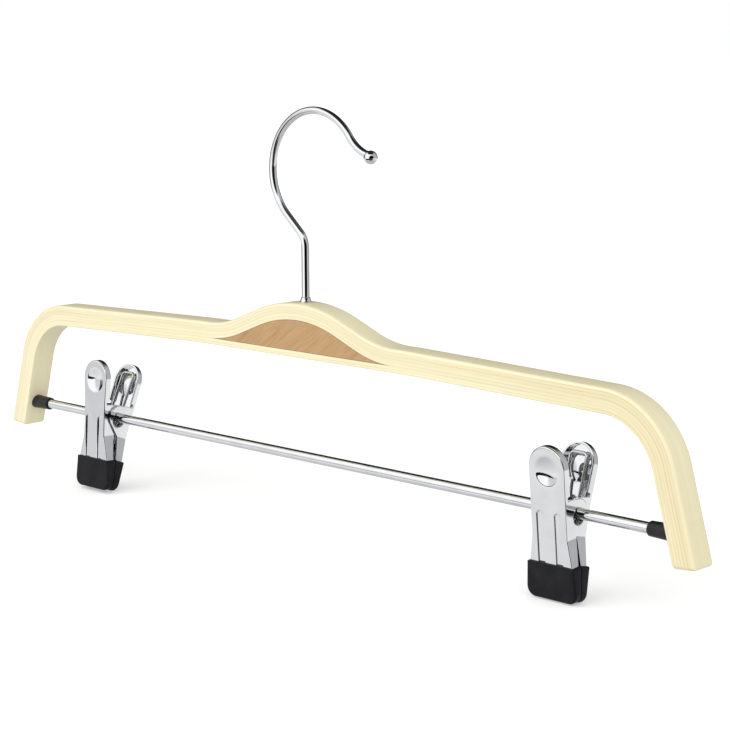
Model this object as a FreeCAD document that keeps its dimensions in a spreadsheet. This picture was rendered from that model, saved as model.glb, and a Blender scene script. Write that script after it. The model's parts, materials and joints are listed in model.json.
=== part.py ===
import FreeCAD, Part
import math
import os
from types import SimpleNamespace

import Sketcher
from FreeCAD import Placement, Rotation, Vector

# Skirt hanger of bent laminated wood, with a swivel hook, a steel bar and two sprung clips.
# The origin is where the underside of the hook's crown bears on a rail.
# +X runs along the hanger, -Y is the front and +Z is up.

# Driving sizes, in millimetres and degrees
SIZES = {
    # Bent wooden frame, measured from the bar's axis
    "overall_width": 380.0,
    "wood_depth": 11.2,
    "ply_thickness": 1.3,
    "bar_to_wood": 40.8,
    "leg_splay": 15.8,
    "leg_below_bar": 10.1,
    "leg_end_tilt": 4.8,
    "leg_end_round": 1.5,
    "shoulder_droop": 1.57,
    "corner_radius": 25.9,
    "bow_radius": 400.0,
    "outer_edge_round": 1.2,
    "inner_edge_round": 0.5,
    # Core block under the hump
    "core_rise": 12.4,
    "core_reach": 52.4,
    "core_tip": 0.15,
    "core_crown_radius": 56.8,
    "core_foot_radius": 53.7,
    "core_flank_least": 2.0,
    # Swivel hook
    "rail_to_bar": 136.0,
    "wire_diameter": 3.0,
    "hook_crown_radius": 23.6,
    "hook_bend_radius": 7.8,
    "hook_bend_angle": 48.2,
    "hook_neck_run": 10.0,
    "hook_mouth_angle": 36.8,
    "hook_flick_radius": 18.0,
    "hook_flick_angle": 30.0,
    "hook_tail": 4.2,
    "ball_diameter": 5.3,
    "rivet_head_diameter": 5.0,
    "rivet_head_height": 1.0,
    "running_gap": 0.06,
    # Ferrule and washer on the hook's shank
    "ferrule_base_diameter": 4.7,
    "ferrule_top_diameter": 3.7,
    "ferrule_height": 2.1,
    "washer_diameter": 7.6,
    "washer_thickness": 0.8,
    "washer_recess_diameter": 8.0,
    # Bar and its end sleeves
    "bar_diameter": 4.1,
    "sleeve_length": 10.3,
    "sleeve_small_diameter": 5.5,
    "sleeve_end_round": 0.6,
    "plug_diameter": 6.2,
    "plug_depth": 5.0,
    # Clip places on the bar, measured inwards from the legs
    "left_clip_inset": 50.8,
    "left_clip_lean_angle": -13.0,
    "right_clip_inset": 48.9,
    "right_clip_lean_angle": -4.0,
    # Stamped clip jaws, measured from the pivot
    "sheet_thickness": 0.8,
    "jaw_lean_angle": 9.3,
    "plate_to_pivot": 7.2,
    "handle_height": 26.1,
    "jaw_drop": 29.7,
    "head_width": 16.0,
    "waist_width": 15.8,
    "tip_width": 19.4,
    "flare_top": 7.4,
    "flare_bottom": 18.4,
    "jaw_bend_round": 6.0,
    "jaw_toe_round": 2.0,
    "plate_edge_round": 0.7,
    "jaw_side_gap": 0.15,
    "rim_depth": 2.8,
    "ear_radius": 5.1,
    "ear_rise": 1.4,
    "ear_hole_diameter": 6.4,
    "ear_top": 7.1,
    "notch_width": 1.4,
    "notch_floor": 1.3,
    "flange_split": 1.5,
    "flange_apex": 7.0,
    # Thumb dimple and stiffening ribs pressed into each jaw
    "dimple_diameter": 10.5,
    "dimple_depth": 1.2,
    "dimple_height": 17.1,
    "rib_width": 3.2,
    "rib_depth": 0.6,
    "rib_spacing": 8.0,
    "rib_top": 2.2,
    "rib_bottom": 18.9,
    # Dipped tips
    "coat_thickness": 0.8,
    "coat_top": 17.2,
    "coat_bottom": 30.6,
    "coat_top_width": 20.9,
    "coat_bottom_width": 22.8,
    "coat_corner_round": 3.6,
    "coat_edge_round": 0.9,
    "pad_gap": 0.3,
    # Torsion spring
    "spring_wire": 1.2,
    "spring_pitch": 1.75,
    "bight_width": 7.4,
    "bight_height": 22.2,
    "bight_corner": 1.7,
    "bight_standoff": 1.4,
    "leg_height": 10.4,
    "leg_standoff": 0.75,
    # How far a cutting shape passes the piece that it cuts
    "overrun": 2.0,
}
UPPER_PLIES = 5
LOWER_PLIES = 2
SPRING_WRAPS = 2
SPRING_NODES_PER_WRAP = 4
GAP_SAMPLES = 400
TOUCHING = 1e-6

doc = FreeCAD.newDocument("skirt_hanger")
sheet = doc.addObject("Spreadsheet::Sheet", "Sizes")
for row, (alias, value) in enumerate(SIZES.items(), start=1):
    sheet.set(f"A{row}", alias)
    sheet.set(f"B{row}", str(value))
    sheet.setAlias(f"B{row}", alias)

# The bend at the hump's foot is limited by the room that the crown's bend and a short straight flank leave it
steepest = "2 * atan(core_rise / (core_reach + core_flank_least))"
room = f"(core_reach - core_flank_least * cos({steepest})) / sin({steepest})"
limited = len(SIZES) + 1
sheet.set(f"A{limited}", "foot_radius")
sheet.set(f"B{limited}", f"=min(core_foot_radius; {room} - core_crown_radius)")
sheet.setAlias(f"B{limited}", "foot_radius")
doc.recompute()
size = SimpleNamespace(**{alias: float(sheet.get(alias)) for alias in (*SIZES, "foot_radius")})


# Outlines: curves of a flat sketch, as plain descriptions until they are drawn

def direction(degrees):
    """Unit vector in a sketch at an angle from its first axis."""
    return Vector(math.cos(math.radians(degrees)), math.sin(math.radians(degrees)), 0)


def line(start, end):
    return SimpleNamespace(kind="line", start=start, end=end)


def arc(centre, radius, from_angle, to_angle, bound=None):
    """Anticlockwise arc; bound is the expression of its radius on the sheet."""
    return SimpleNamespace(kind="arc", centre=centre, radius=radius,
                           from_angle=from_angle, to_angle=to_angle, bound=bound)


def flipped(point):
    return Vector(-point.x, point.y, 0)


def mirrored(curves):
    """The same curves on the other side of the sketch's second axis."""
    other_side = []
    for curve in curves:
        if curve.kind == "line":
            other_side.append(line(flipped(curve.end), flipped(curve.start)))
        else:
            other_side.append(arc(flipped(curve.centre), curve.radius,
                                  180 - curve.to_angle, 180 - curve.from_angle, curve.bound))
    return other_side


def angle_of(vector):
    return math.degrees(math.atan2(vector.y, vector.x))


def rounded(corners):
    """Closed outline through (point, radius) corners, each rounded by its radius."""
    curves = []
    ends = []
    for index, (point, radius) in enumerate(corners):
        back = (corners[index - 1][0] - point).normalize()
        ahead = (corners[(index + 1) % len(corners)][0] - point).normalize()
        half_angle = back.getAngle(ahead) / 2
        reach = radius / math.tan(half_angle)
        start = point + back * reach
        end = point + ahead * reach
        ends.append((start, end))
        if radius > 0:
            centre = point + (back + ahead).normalize() * (radius / math.sin(half_angle))
            first, last = angle_of(start - centre), angle_of(end - centre)
            if (start - centre).cross(end - centre).z < 0:
                first, last = last, first
            curves.append(arc(centre, radius, first, last if last > first else last + 360))
    for index, (start, end) in enumerate(ends):
        next_start = ends[(index + 1) % len(ends)][0]
        if (next_start - end).Length > TOUCHING:
            curves.append(line(end, next_start))
    return curves


def draw(body, name, role, curves, out=None, up=None):
    """Sketch on one of the body's origin planes, moved out along its normal or up in its own plane."""
    sketch = body.newObject("Sketcher::SketchObject", name)
    plane = next(feature for feature in body.Origin.OriginFeatures if feature.Role == role)
    sketch.AttachmentSupport = [(plane, "")]
    sketch.MapMode = "FlatFace"
    if out:
        sketch.setExpression("AttachmentOffset.Base.z", out)
    if up:
        sketch.setExpression("AttachmentOffset.Base.y", up)
    for curve in curves:
        if curve.kind == "line":
            sketch.addGeometry(Part.LineSegment(curve.start, curve.end), False)
        else:
            circle = Part.Circle(curve.centre, Vector(0, 0, 1), curve.radius)
            limits = math.radians(curve.from_angle), math.radians(curve.to_angle)
            sketch.addGeometry(Part.ArcOfCircle(circle, *limits), False)
    ends = [(index, side) for index in range(len(curves)) for side in (1, 2)]
    for place, (index, side) in enumerate(ends):
        for other, other_side in ends[place + 1:]:
            apart = (sketch.getPoint(index, side) - sketch.getPoint(other, other_side)).Length
            if other != index and apart < TOUCHING:
                sketch.addConstraint(Sketcher.Constraint("Coincident", index, side, other, other_side))
    for index, curve in enumerate(curves):
        if curve.kind == "arc" and curve.bound:
            number = sketch.addConstraint(Sketcher.Constraint("Radius", index, curve.radius))
            sketch.setExpression(f"Constraints[{number}]", curve.bound)
    doc.recompute()
    return sketch


def draw_circle(body, name, role, bound, out=None):
    """Sketch of one circle about the plane's centre, its radius bound to the sheet."""
    sketch = draw(body, name, role, [], out=out)
    sketch.addGeometry(Part.Circle(Vector(0, 0, 0), Vector(0, 0, 1), size.sheet_thickness), False)
    number = sketch.addConstraint(Sketcher.Constraint("Radius", 0, size.sheet_thickness))
    sketch.setExpression(f"Constraints[{number}]", bound)
    sketch.addConstraint(Sketcher.Constraint("Coincident", 0, 3, -1, 1))
    doc.recompute()
    return sketch


# Features

def new_body(name):
    return doc.addObject("PartDesign::Body", name)


def pad(body, sketch, length, symmetric=False, inward=False):
    feature = body.newObject("PartDesign::Pad", sketch.Name + "_pad")
    feature.Profile = sketch
    feature.SideType = "Symmetric" if symmetric else "One side"
    feature.Reversed = inward
    feature.setExpression("Length", length)
    doc.recompute()
    return feature


def cut_feature(body, kind, sketch, suffix, setup):
    """Pocket or groove that must take material away."""
    before = body.Shape.Volume
    feature = body.newObject(kind, sketch.Name + suffix)
    feature.Profile = sketch
    setup(feature)
    doc.recompute()
    if body.Shape.Volume >= before:
        raise RuntimeError(f"{feature.Name} takes nothing away")
    return feature


def pocket_through(body, sketch, symmetric=True):
    def setup(feature):
        feature.Type = "ThroughAll"
        feature.SideType = "Symmetric" if symmetric else "One side"
    return cut_feature(body, "PartDesign::Pocket", sketch, "_pocket", setup)


def pocket_to(body, sketch, depth):
    return cut_feature(body, "PartDesign::Pocket", sketch, "_pocket",
                       lambda feature: feature.setExpression("Length", depth))


def turn_about_first_axis(feature, sketch):
    feature.Profile = sketch
    feature.ReferenceAxis = (sketch, ["H_Axis"])
    feature.Angle = 360


def cylinder(name, radius, height, place):
    shape = doc.addObject("Part::Cylinder", name)
    shape.setExpression("Radius", radius)
    shape.setExpression("Height", height) if isinstance(height, str) else setattr(shape, "Height", height)
    shape.Placement = place
    return shape


def fused(name, shapes):
    feature = doc.addObject("Part::MultiFuse", name)
    feature.Shapes = shapes
    return feature


def cut(name, base, tool):
    feature = doc.addObject("Part::Cut", name)
    feature.Base = base
    feature.Tool = tool
    return feature


NODES = {}


def node(name, piece):
    """Keeps a finished piece under the name of its file."""
    piece.Label = name
    NODES[name] = piece
    return piece


# Hook: a wire bent in one plane, found from its crown down to the stem
hook_centre = Vector(-size.hook_bend_radius, 0, 0)
hook_centre += direction(size.hook_bend_angle) * (size.hook_bend_radius + size.hook_crown_radius)
hook_centre += direction(size.hook_bend_angle + 90) * size.hook_neck_run
stem_top = size.wire_diameter / 2 - size.hook_crown_radius - hook_centre.y
crown_centre = Vector(hook_centre.x, hook_centre.y + stem_top, 0)
bend_centre = Vector(-size.hook_bend_radius, stem_top, 0)

# The swivel axis stands beside the rail seat by the crown's offset from the stem
swivel_x = -crown_centre.x
hook_place = Placement(Vector(swivel_x, 0, 0), Rotation())
frame_place = Placement(Vector(swivel_x, 0, -size.rail_to_bar), Rotation())

# Wooden frame: heights from the bar's axis, and the ply line between upper and lower plies
core_floor = size.bar_to_wood + LOWER_PLIES * size.ply_thickness
core_crown = core_floor + size.core_rise
frame_crown = core_crown + UPPER_PLIES * size.ply_thickness
leg_normal = direction(size.leg_splay)
shoulder_normal = direction(90 - size.shoulder_droop)
hump_centre = Vector(0, core_crown - size.core_crown_radius, 0)
foot_centre = Vector(size.core_reach, core_floor + size.foot_radius, 0)
bow_centre = Vector(size.core_reach, core_floor - size.bow_radius, 0)
leg_toe = Vector(size.overall_width / 2, -size.leg_below_bar, 0)
leg_line = leg_toe.dot(leg_normal) - UPPER_PLIES * size.ply_thickness
shoulder_line = bow_centre.dot(shoulder_normal) + size.bow_radius

# The hump's flank touches the crown and foot circles from opposite sides
both_radii = size.core_crown_radius + size.foot_radius
centres_apart = foot_centre - hump_centre
flank_angle = math.degrees(math.asin(both_radii / centres_apart.Length)) - angle_of(centres_apart)
flank_normal = direction(90 - flank_angle)

# The corner's centre lies one radius inside both the leg's line and the shoulder's line
leg_reach = leg_line - size.corner_radius
shoulder_reach = shoulder_line - size.corner_radius
spread = leg_normal.cross(shoulder_normal).z
corner_centre = Vector((leg_reach * shoulder_normal.y - shoulder_reach * leg_normal.y) / spread,
                       (shoulder_reach * leg_normal.x - leg_reach * shoulder_normal.x) / spread, 0)


def toe(offset):
    """Point on the cut end of the leg at a distance outside the ply line."""
    along = direction(size.leg_end_tilt)
    run = (leg_line + offset - leg_toe.dot(leg_normal)) / along.dot(leg_normal)
    return leg_toe + along * run


def plies(alias, count):
    """Expression for a radius that grows by a number of plies."""
    return f"Sizes.{alias} + {count} * Sizes.ply_thickness"


def band_edge(count, humped):
    """Line of the bent band that lies a number of plies outside the ply line."""
    offset = count * size.ply_thickness
    if humped:
        middle = [arc(hump_centre, size.core_crown_radius + offset, 90 - flank_angle, 90 + flank_angle,
                      plies("core_crown_radius", count))]
        right = [line(hump_centre + flank_normal * (size.core_crown_radius + offset),
                      foot_centre - flank_normal * (size.foot_radius - offset)),
                 arc(foot_centre, size.foot_radius - offset, 270 - flank_angle, 270,
                     plies("foot_radius", -count))]
    else:
        level = Vector(size.core_reach, core_floor + offset, 0)
        middle = [line(flipped(level), level)]
        right = []
    right += [
        arc(bow_centre, size.bow_radius + offset, 90 - size.shoulder_droop, 90, plies("bow_radius", count)),
        line(bow_centre + shoulder_normal * (size.bow_radius + offset),
             corner_centre + shoulder_normal * (size.corner_radius + offset)),
        arc(corner_centre, size.corner_radius + offset, size.leg_splay, 90 - size.shoulder_droop,
            plies("corner_radius", count)),
        line(corner_centre + leg_normal * (size.corner_radius + offset), toe(offset)),
    ]
    return middle + right + mirrored(right)


# Bores in the wood for the hook, its washer and the sleeves' plugs
leg_inside = (leg_line - LOWER_PLIES * size.ply_thickness) / leg_normal.x
bar_half_length = leg_inside + size.plug_depth
to_right = Rotation(Vector(0, 1, 0), 90)
to_left = Rotation(Vector(0, 1, 0), -90)


def on_frame(x, z, turn=Rotation()):
    return frame_place.multiply(Placement(Vector(x, 0, z), turn))


hook_bore = cylinder("hook_bore", "Sizes.wire_diameter / 2 + Sizes.running_gap",
                     frame_crown + size.overrun, on_frame(0, 0))
washer_recess = cylinder("washer_recess", "Sizes.washer_recess_diameter / 2",
                         core_floor, on_frame(0, 0))
plug_bores = [cylinder(f"{side}_plug_bore", "Sizes.plug_diameter / 2", "Sizes.plug_depth + Sizes.overrun",
                       on_frame(sign * bar_half_length, 0, turn))
              for side, sign, turn in (("left", -1, to_right), ("right", 1, to_left))]
upper_bores = fused("upper_bores", [hook_bore] + plug_bores)
lower_bores = fused("lower_bores", [washer_recess] + plug_bores)


def middle_of(curve):
    """Point half way along a curve of an outline."""
    if curve.kind == "line":
        return (curve.start + curve.end) * 0.5
    return curve.centre + direction((curve.from_angle + curve.to_angle) / 2) * curve.radius


def round_side_edges(body, solid, curves, bound, suffix):
    """Rounds the edges on both sides of a ply that run along given curves of its outline."""
    middles = [Vector(point.x, 0, point.y) for point in map(middle_of, curves)]
    chosen = []
    for number, edge in enumerate(solid.Shape.Edges, start=1):
        halfway = edge.valueAt((edge.FirstParameter + edge.LastParameter) / 2)
        flat = Vector(halfway.x, 0, halfway.z)
        on_side = abs(abs(halfway.y) - size.wood_depth / 2) < TOUCHING
        if on_side and any((flat - middle).Length < TOUCHING for middle in middles):
            chosen.append(f"Edge{number}")
    edge_round = body.newObject("PartDesign::Fillet", body.Name + suffix)
    edge_round.Base = (solid, chosen)
    edge_round.setExpression("Radius", bound)
    doc.recompute()
    return edge_round


def veneer(name, bottom, top, humped, bores):
    """One bent ply between two counts of plies from the ply line."""
    body = new_body(name + "_strip")
    ends = [line(toe(bottom * size.ply_thickness), toe(top * size.ply_thickness))]
    outline = band_edge(bottom, humped) + band_edge(top, humped) + ends + mirrored(ends)
    solid = pad(body, draw(body, name + "_outline", "XZ_Plane", outline), "Sizes.wood_depth", symmetric=True)
    solid = round_side_edges(body, solid, ends + mirrored(ends), "Sizes.leg_end_round", "_end_round")
    # The long edges' rounding runs on round the leg's end, where the edges go over into each other
    if top == UPPER_PLIES:
        round_side_edges(body, solid, band_edge(top, humped), "Sizes.outer_edge_round", "_edge_round")
    if bottom == -LOWER_PLIES:
        round_side_edges(body, solid, band_edge(bottom, humped), "Sizes.inner_edge_round", "_edge_round")
    body.Placement = frame_place
    return node(name, cut(name + "_bored", body, bores))


for number in range(1, UPPER_PLIES + 1):
    veneer(f"upper_veneer_{number}", UPPER_PLIES - number, UPPER_PLIES - number + 1, True, upper_bores)
for number in range(1, LOWER_PLIES + 1):
    veneer(f"lower_veneer_{number}", -number, 1 - number, False, lower_bores)

# Core block: flat below, humped above, with blunt tips where the plies close
tip_angle = math.degrees(math.acos(1 - size.core_tip / size.foot_radius))
tip_top = foot_centre + direction(270 - tip_angle) * size.foot_radius
tip_bottom = Vector(tip_top.x, core_floor, 0)
core_side = [
    line(hump_centre + flank_normal * size.core_crown_radius,
         foot_centre - flank_normal * size.foot_radius),
    arc(foot_centre, size.foot_radius, 270 - flank_angle, 270 - tip_angle, "Sizes.foot_radius"),
    line(tip_top, tip_bottom),
]
core_crown_arc = arc(hump_centre, size.core_crown_radius, 90 - flank_angle, 90 + flank_angle,
                     "Sizes.core_crown_radius")
core_outline = [core_crown_arc, line(flipped(tip_bottom), tip_bottom)] + core_side + mirrored(core_side)
core_body = new_body("core_blank")
pad(core_body, draw(core_body, "core_outline", "XZ_Plane", core_outline), "Sizes.wood_depth", symmetric=True)
core_body.Placement = frame_place
node("core_block", cut("core_bored", core_body, hook_bore))

# Hook wire, its ball tip and the riveted head that holds it under the washer
head_top = core_floor - size.washer_thickness - size.running_gap - size.rail_to_bar
hook_foot = head_top - size.rivet_head_height
neck_normal = direction(size.hook_bend_angle)
neck_start = bend_centre + neck_normal * size.hook_bend_radius
mouth = direction(size.hook_mouth_angle)
flick_centre = crown_centre + mouth * (size.hook_crown_radius + size.hook_flick_radius)
flick_angle = size.hook_mouth_angle + 180 + size.hook_flick_angle
flick_end = flick_centre + direction(flick_angle) * size.hook_flick_radius
ball_centre = flick_end + direction(flick_angle + 90) * size.hook_tail
hook_curves = [
    line(Vector(0, hook_foot, 0), Vector(0, stem_top, 0)),
    arc(bend_centre, size.hook_bend_radius, 0, size.hook_bend_angle, "Sizes.hook_bend_radius"),
    line(neck_start, crown_centre - neck_normal * size.hook_crown_radius),
    arc(crown_centre, size.hook_crown_radius, size.hook_mouth_angle, size.hook_bend_angle + 180,
        "Sizes.hook_crown_radius"),
    arc(flick_centre, size.hook_flick_radius, size.hook_mouth_angle + 180, flick_angle,
        "Sizes.hook_flick_radius"),
    line(flick_end, ball_centre),
]
hook_body = new_body("hook_wire")
hook_path = draw(hook_body, "hook_path", "XZ_Plane", hook_curves)
hook_section = draw_circle(hook_body, "hook_section", "XY_Plane", "Sizes.wire_diameter / 2")
hook_section.AttachmentOffset = Placement(Vector(0, 0, hook_foot), Rotation())
hook_pipe = hook_body.newObject("PartDesign::AdditivePipe", "hook_pipe")
hook_pipe.Profile = hook_section
hook_pipe.Spine = (hook_path, [f"Edge{number}" for number in range(1, len(hook_curves) + 1)])
hook_body.Placement = hook_place
ball = doc.addObject("Part::Sphere", "hook_ball")
ball.setExpression("Radius", "Sizes.ball_diameter / 2")
ball.Placement = hook_place.multiply(Placement(Vector(ball_centre.x, 0, ball_centre.y), Rotation()))
rivet_head = cylinder("rivet_head", "Sizes.rivet_head_diameter / 2", "Sizes.rivet_head_height",
                      hook_place.multiply(Placement(Vector(0, 0, hook_foot), Rotation())))
node("hook", fused("hook_whole", [hook_body, ball, rivet_head]))

# Ferrule on top of the hump, and the washer under the core
ferrule_cone = doc.addObject("Part::Cone", "ferrule_cone")
ferrule_cone.setExpression("Radius1", "Sizes.ferrule_base_diameter / 2")
ferrule_cone.setExpression("Radius2", "Sizes.ferrule_top_diameter / 2")
ferrule_cone.setExpression("Height", "Sizes.ferrule_height")
ferrule_cone.Placement = on_frame(0, frame_crown)
ferrule_bore = cylinder("ferrule_bore", "Sizes.wire_diameter / 2 + Sizes.running_gap",
                        size.ferrule_height + 2 * size.overrun, on_frame(0, frame_crown - size.overrun))
node("hook_ferrule", cut("ferrule_bored", ferrule_cone, ferrule_bore))
washer_disc = cylinder("washer_disc", "Sizes.washer_diameter / 2", "Sizes.washer_thickness",
                       on_frame(0, core_floor - size.washer_thickness))
washer_bore = cylinder("washer_bore", "Sizes.wire_diameter / 2 + Sizes.running_gap",
                       size.washer_thickness + 2 * size.overrun,
                       on_frame(0, core_floor - size.washer_thickness - size.overrun))
node("hook_washer", cut("washer_bored", washer_disc, washer_bore))

# Bar and the tapered sleeves that plug it into the legs
node("bar", cylinder("bar_rod", "Sizes.bar_diameter / 2", 2 * bar_half_length,
                     on_frame(-bar_half_length, 0, to_right)))


def sleeve(side, place):
    """Turned sleeve: plug in the leg, taper along the bar and a rounded end."""
    body = new_body(side + "_sleeve_turned")
    bore = size.bar_diameter / 2
    end = size.plug_depth + size.sleeve_length
    corners = [(Vector(0, bore, 0), 0), (Vector(end, bore, 0), 0),
               (Vector(end, size.sleeve_small_diameter / 2, 0), size.sleeve_end_round),
               (Vector(size.plug_depth, size.plug_diameter / 2, 0), 0),
               (Vector(0, size.plug_diameter / 2, 0), 0)]
    profile = draw(body, side + "_sleeve_profile", "XZ_Plane", rounded(corners))
    turned = body.newObject("PartDesign::Revolution", side + "_sleeve_turn")
    turn_about_first_axis(turned, profile)
    body.Placement = place
    doc.recompute()
    return body


node("left_end_sleeve", sleeve("left", on_frame(-bar_half_length, 0)))
node("right_end_sleeve", sleeve("right", on_frame(bar_half_length, 0, Rotation(Vector(0, 0, 1), 180))))


# Clip jaws: each is drawn about the pivot, with its plate in front and its inside towards +Y

def jaw_outline(waist, inset, drop):
    """Front view of a jaw: round handle, waist at the ears and a flared foot."""
    head = size.head_width / 2 - inset
    middle = waist / 2 - inset
    foot = size.tip_width / 2 - inset
    top = size.handle_height - inset
    shoulder = Vector(head, top, 0)
    ear = Vector(middle, size.ear_top, 0)
    half_turn = (Vector(-1, 0, 0).getAngle(ear - shoulder)) / 2
    head_round = head * math.tan(half_turn)
    right = [
        (shoulder, head_round),
        (ear, size.jaw_bend_round + inset),
        (Vector(middle, -size.flare_top, 0), size.jaw_bend_round + inset),
        (Vector(foot, -size.flare_bottom, 0), size.jaw_bend_round - inset),
        (Vector(foot, -drop, 0), size.jaw_toe_round - inset),
    ]
    return rounded(right + [(flipped(point), radius) for point, radius in reversed(right)])


def tangent_angle(point, radius, side):
    """Angle of the point where a line touches a circle, from a point measured from the circle's centre."""
    return angle_of(point) + side * math.degrees(math.acos(radius / point.Length))


def middle_plane(height, gap):
    """Place in a jaw's side view that lies a gap in front of the closed clip's middle plane."""
    lean = math.radians(size.jaw_lean_angle)
    return Vector(height * math.tan(lean) - gap / math.cos(lean), height, 0)


def flange_trim():
    """Side view of what is trimmed off a jaw's flanges: beyond its rim, notch, ear and lower edge."""
    plate = -size.plate_to_pivot
    rim = plate + size.rim_depth
    half_notch = size.notch_width / 2
    notch_centre = Vector(plate + size.notch_floor + half_notch, size.ear_top + half_notch, 0)
    beyond = size.ear_radius + size.overrun
    top = size.handle_height + size.overrun
    bottom = -size.jaw_drop - size.overrun
    notch = Vector(notch_centre.x, size.ear_top, 0)
    apex = middle_plane(-size.flange_apex, size.flange_split / 2)
    low = middle_plane(bottom, size.flange_split / 2)
    ear_centre = Vector(0, size.ear_rise, 0)
    upper_angle = tangent_angle(notch - ear_centre, size.ear_radius, -1)
    lower_angle = tangent_angle(apex - ear_centre, size.ear_radius, 1)
    upper_touch = ear_centre + direction(upper_angle) * size.ear_radius
    lower_touch = ear_centre + direction(lower_angle) * size.ear_radius
    notch_end = Vector(notch_centre.x, size.ear_top + size.notch_width, 0)
    corners = [Vector(beyond, top, 0), Vector(rim, top, 0), Vector(rim, notch_end.y, 0), notch_end]
    ends = [lower_touch, apex, low, Vector(beyond, bottom, 0), Vector(beyond, top, 0)]
    curves = [line(start, end) for start, end in zip(corners, corners[1:])]
    curves += [arc(notch_centre, half_notch, 90, 270, "Sizes.notch_width / 2"), line(notch, upper_touch)]
    curves += [line(start, end) for start, end in zip(ends, ends[1:])]
    curves.append(arc(ear_centre, size.ear_radius, lower_angle, upper_angle, "Sizes.ear_radius"))
    return curves


def slot(half_width, x, top, bottom):
    """Upright slot with round ends."""
    high = Vector(x, top - half_width, 0)
    low = Vector(x, bottom + half_width, 0)
    aside = Vector(half_width, 0, 0)
    return [arc(high, half_width, 0, 180), arc(low, half_width, 180, 360),
            line(high - aside, low - aside), line(low + aside, high + aside)]


def cap_profile(radius, apex, face):
    """Half of a ball's cap between a face and its apex on the sketch's first axis."""
    centre = Vector(apex - radius, 0, 0)
    edge = math.degrees(math.acos((face - centre.x) / radius))
    rim = centre + direction(edge) * radius
    foot = Vector(face, 0, 0)
    return [arc(centre, radius, 0, edge), line(rim, foot), line(foot, Vector(apex, 0, 0))]


def jaw(name, waist):
    """Stamped jaw: tray of sheet metal with trimmed flanges, bar holes, dimple and ribs."""
    body = new_body(name + "_sheet")
    plate_out = "Sizes.plate_to_pivot"
    floor_out = "Sizes.plate_to_pivot - Sizes.sheet_thickness"
    blank = draw(body, name + "_blank", "XZ_Plane", jaw_outline(waist, 0, size.jaw_drop), out=plate_out)
    solid = pad(body, blank, "Sizes.plate_to_pivot + Sizes.ear_radius", inward=True)
    face_edges = [f"Edge{number}" for number, edge in enumerate(solid.Shape.Edges, start=1)
                  if edge.BoundBox.YMax < TOUCHING - size.plate_to_pivot]
    edge_round = body.newObject("PartDesign::Fillet", name + "_edge_round")
    edge_round.Base = (solid, face_edges)
    edge_round.setExpression("Radius", "Sizes.plate_edge_round")
    doc.recompute()

    hollow = jaw_outline(waist, size.sheet_thickness, size.jaw_drop + size.overrun)
    pocket_through(body, draw(body, name + "_hollow", "XZ_Plane", hollow, out=floor_out), symmetric=False)
    pocket_through(body, draw(body, name + "_trim", "YZ_Plane", flange_trim()))
    pocket_through(body, draw_circle(body, name + "_hole", "YZ_Plane", "Sizes.ear_hole_diameter / 2"))

    # Dimple: a cap pressed inwards, with the sheet's thickness behind it
    cap = (size.dimple_diameter ** 2 / 4 + size.dimple_depth ** 2) / (2 * size.dimple_depth)
    plate = -size.plate_to_pivot
    apex = plate + size.dimple_depth
    back = cap_profile(cap + size.sheet_thickness, apex + size.sheet_thickness, plate + size.sheet_thickness / 2)
    bump = body.newObject("PartDesign::Revolution", name + "_bump")
    turn_about_first_axis(bump, draw(body, name + "_bump_profile", "YZ_Plane", back, up="Sizes.dimple_height"))
    doc.recompute()
    front = draw(body, name + "_dimple_profile", "YZ_Plane", cap_profile(cap, apex, plate - size.overrun),
                 up="Sizes.dimple_height")
    cut_feature(body, "PartDesign::Groove", front, "_groove",
                lambda feature: turn_about_first_axis(feature, front))

    # Ribs: two long slots pressed inwards
    for side, sign in (("left", -1), ("right", 1)):
        x = sign * size.rib_spacing / 2
        wide = size.rib_width / 2
        outer = slot(wide + size.sheet_thickness, x, size.rib_top + size.sheet_thickness,
                     -size.rib_bottom - size.sheet_thickness)
        pad(body, draw(body, f"{name}_{side}_rib_back", "XZ_Plane", outer, out=floor_out), "Sizes.rib_depth",
            inward=True)
        inner = slot(wide, x, size.rib_top, -size.rib_bottom)
        pocket_to(body, draw(body, f"{name}_{side}_rib", "XZ_Plane", inner, out=plate_out), "Sizes.rib_depth")
    return body


def dipped_tip(name, jaw_body, place):
    """Thick soft coat round the foot of a jaw, cut by the jaw that it grips."""
    body = new_body(name + "_coat")
    top = Vector(size.coat_top_width / 2, -size.coat_top, 0)
    bottom = Vector(size.coat_bottom_width / 2, -size.coat_bottom, 0)
    corners = [(flipped(top), size.coat_edge_round), (top, size.coat_edge_round),
               (bottom, size.coat_corner_round), (flipped(bottom), size.coat_corner_round)]
    blank = draw(body, name + "_outline", "XZ_Plane", rounded(corners),
                 out="Sizes.plate_to_pivot + Sizes.coat_thickness")
    solid = pad(body, blank, "Sizes.plate_to_pivot + Sizes.coat_thickness", inward=True)
    face = -size.plate_to_pivot - size.coat_thickness
    face_edges = [f"Edge{number}" for number, edge in enumerate(solid.Shape.Edges, start=1)
                  if edge.BoundBox.YMax < TOUCHING + face]
    edge_round = body.newObject("PartDesign::Fillet", name + "_edge_round")
    edge_round.Base = (solid, face_edges)
    edge_round.setExpression("Radius", "Sizes.coat_edge_round")
    doc.recompute()
    high = middle_plane(size.overrun - size.coat_top, size.pad_gap / 2)
    low = middle_plane(-size.coat_bottom - size.overrun, size.pad_gap / 2)
    beyond = size.overrun
    wedge = [high, low, Vector(beyond, low.y, 0), Vector(beyond, high.y, 0), high]
    trim = [line(start, end) for start, end in zip(wedge, wedge[1:])]
    pocket_through(body, draw(body, name + "_trim", "YZ_Plane", trim))
    body.Placement = place
    return cut(name + "_fitted", body, jaw_body)


# Torsion spring: bight on the rear handle, a coil each side round the bar, free legs on the front handle

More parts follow.
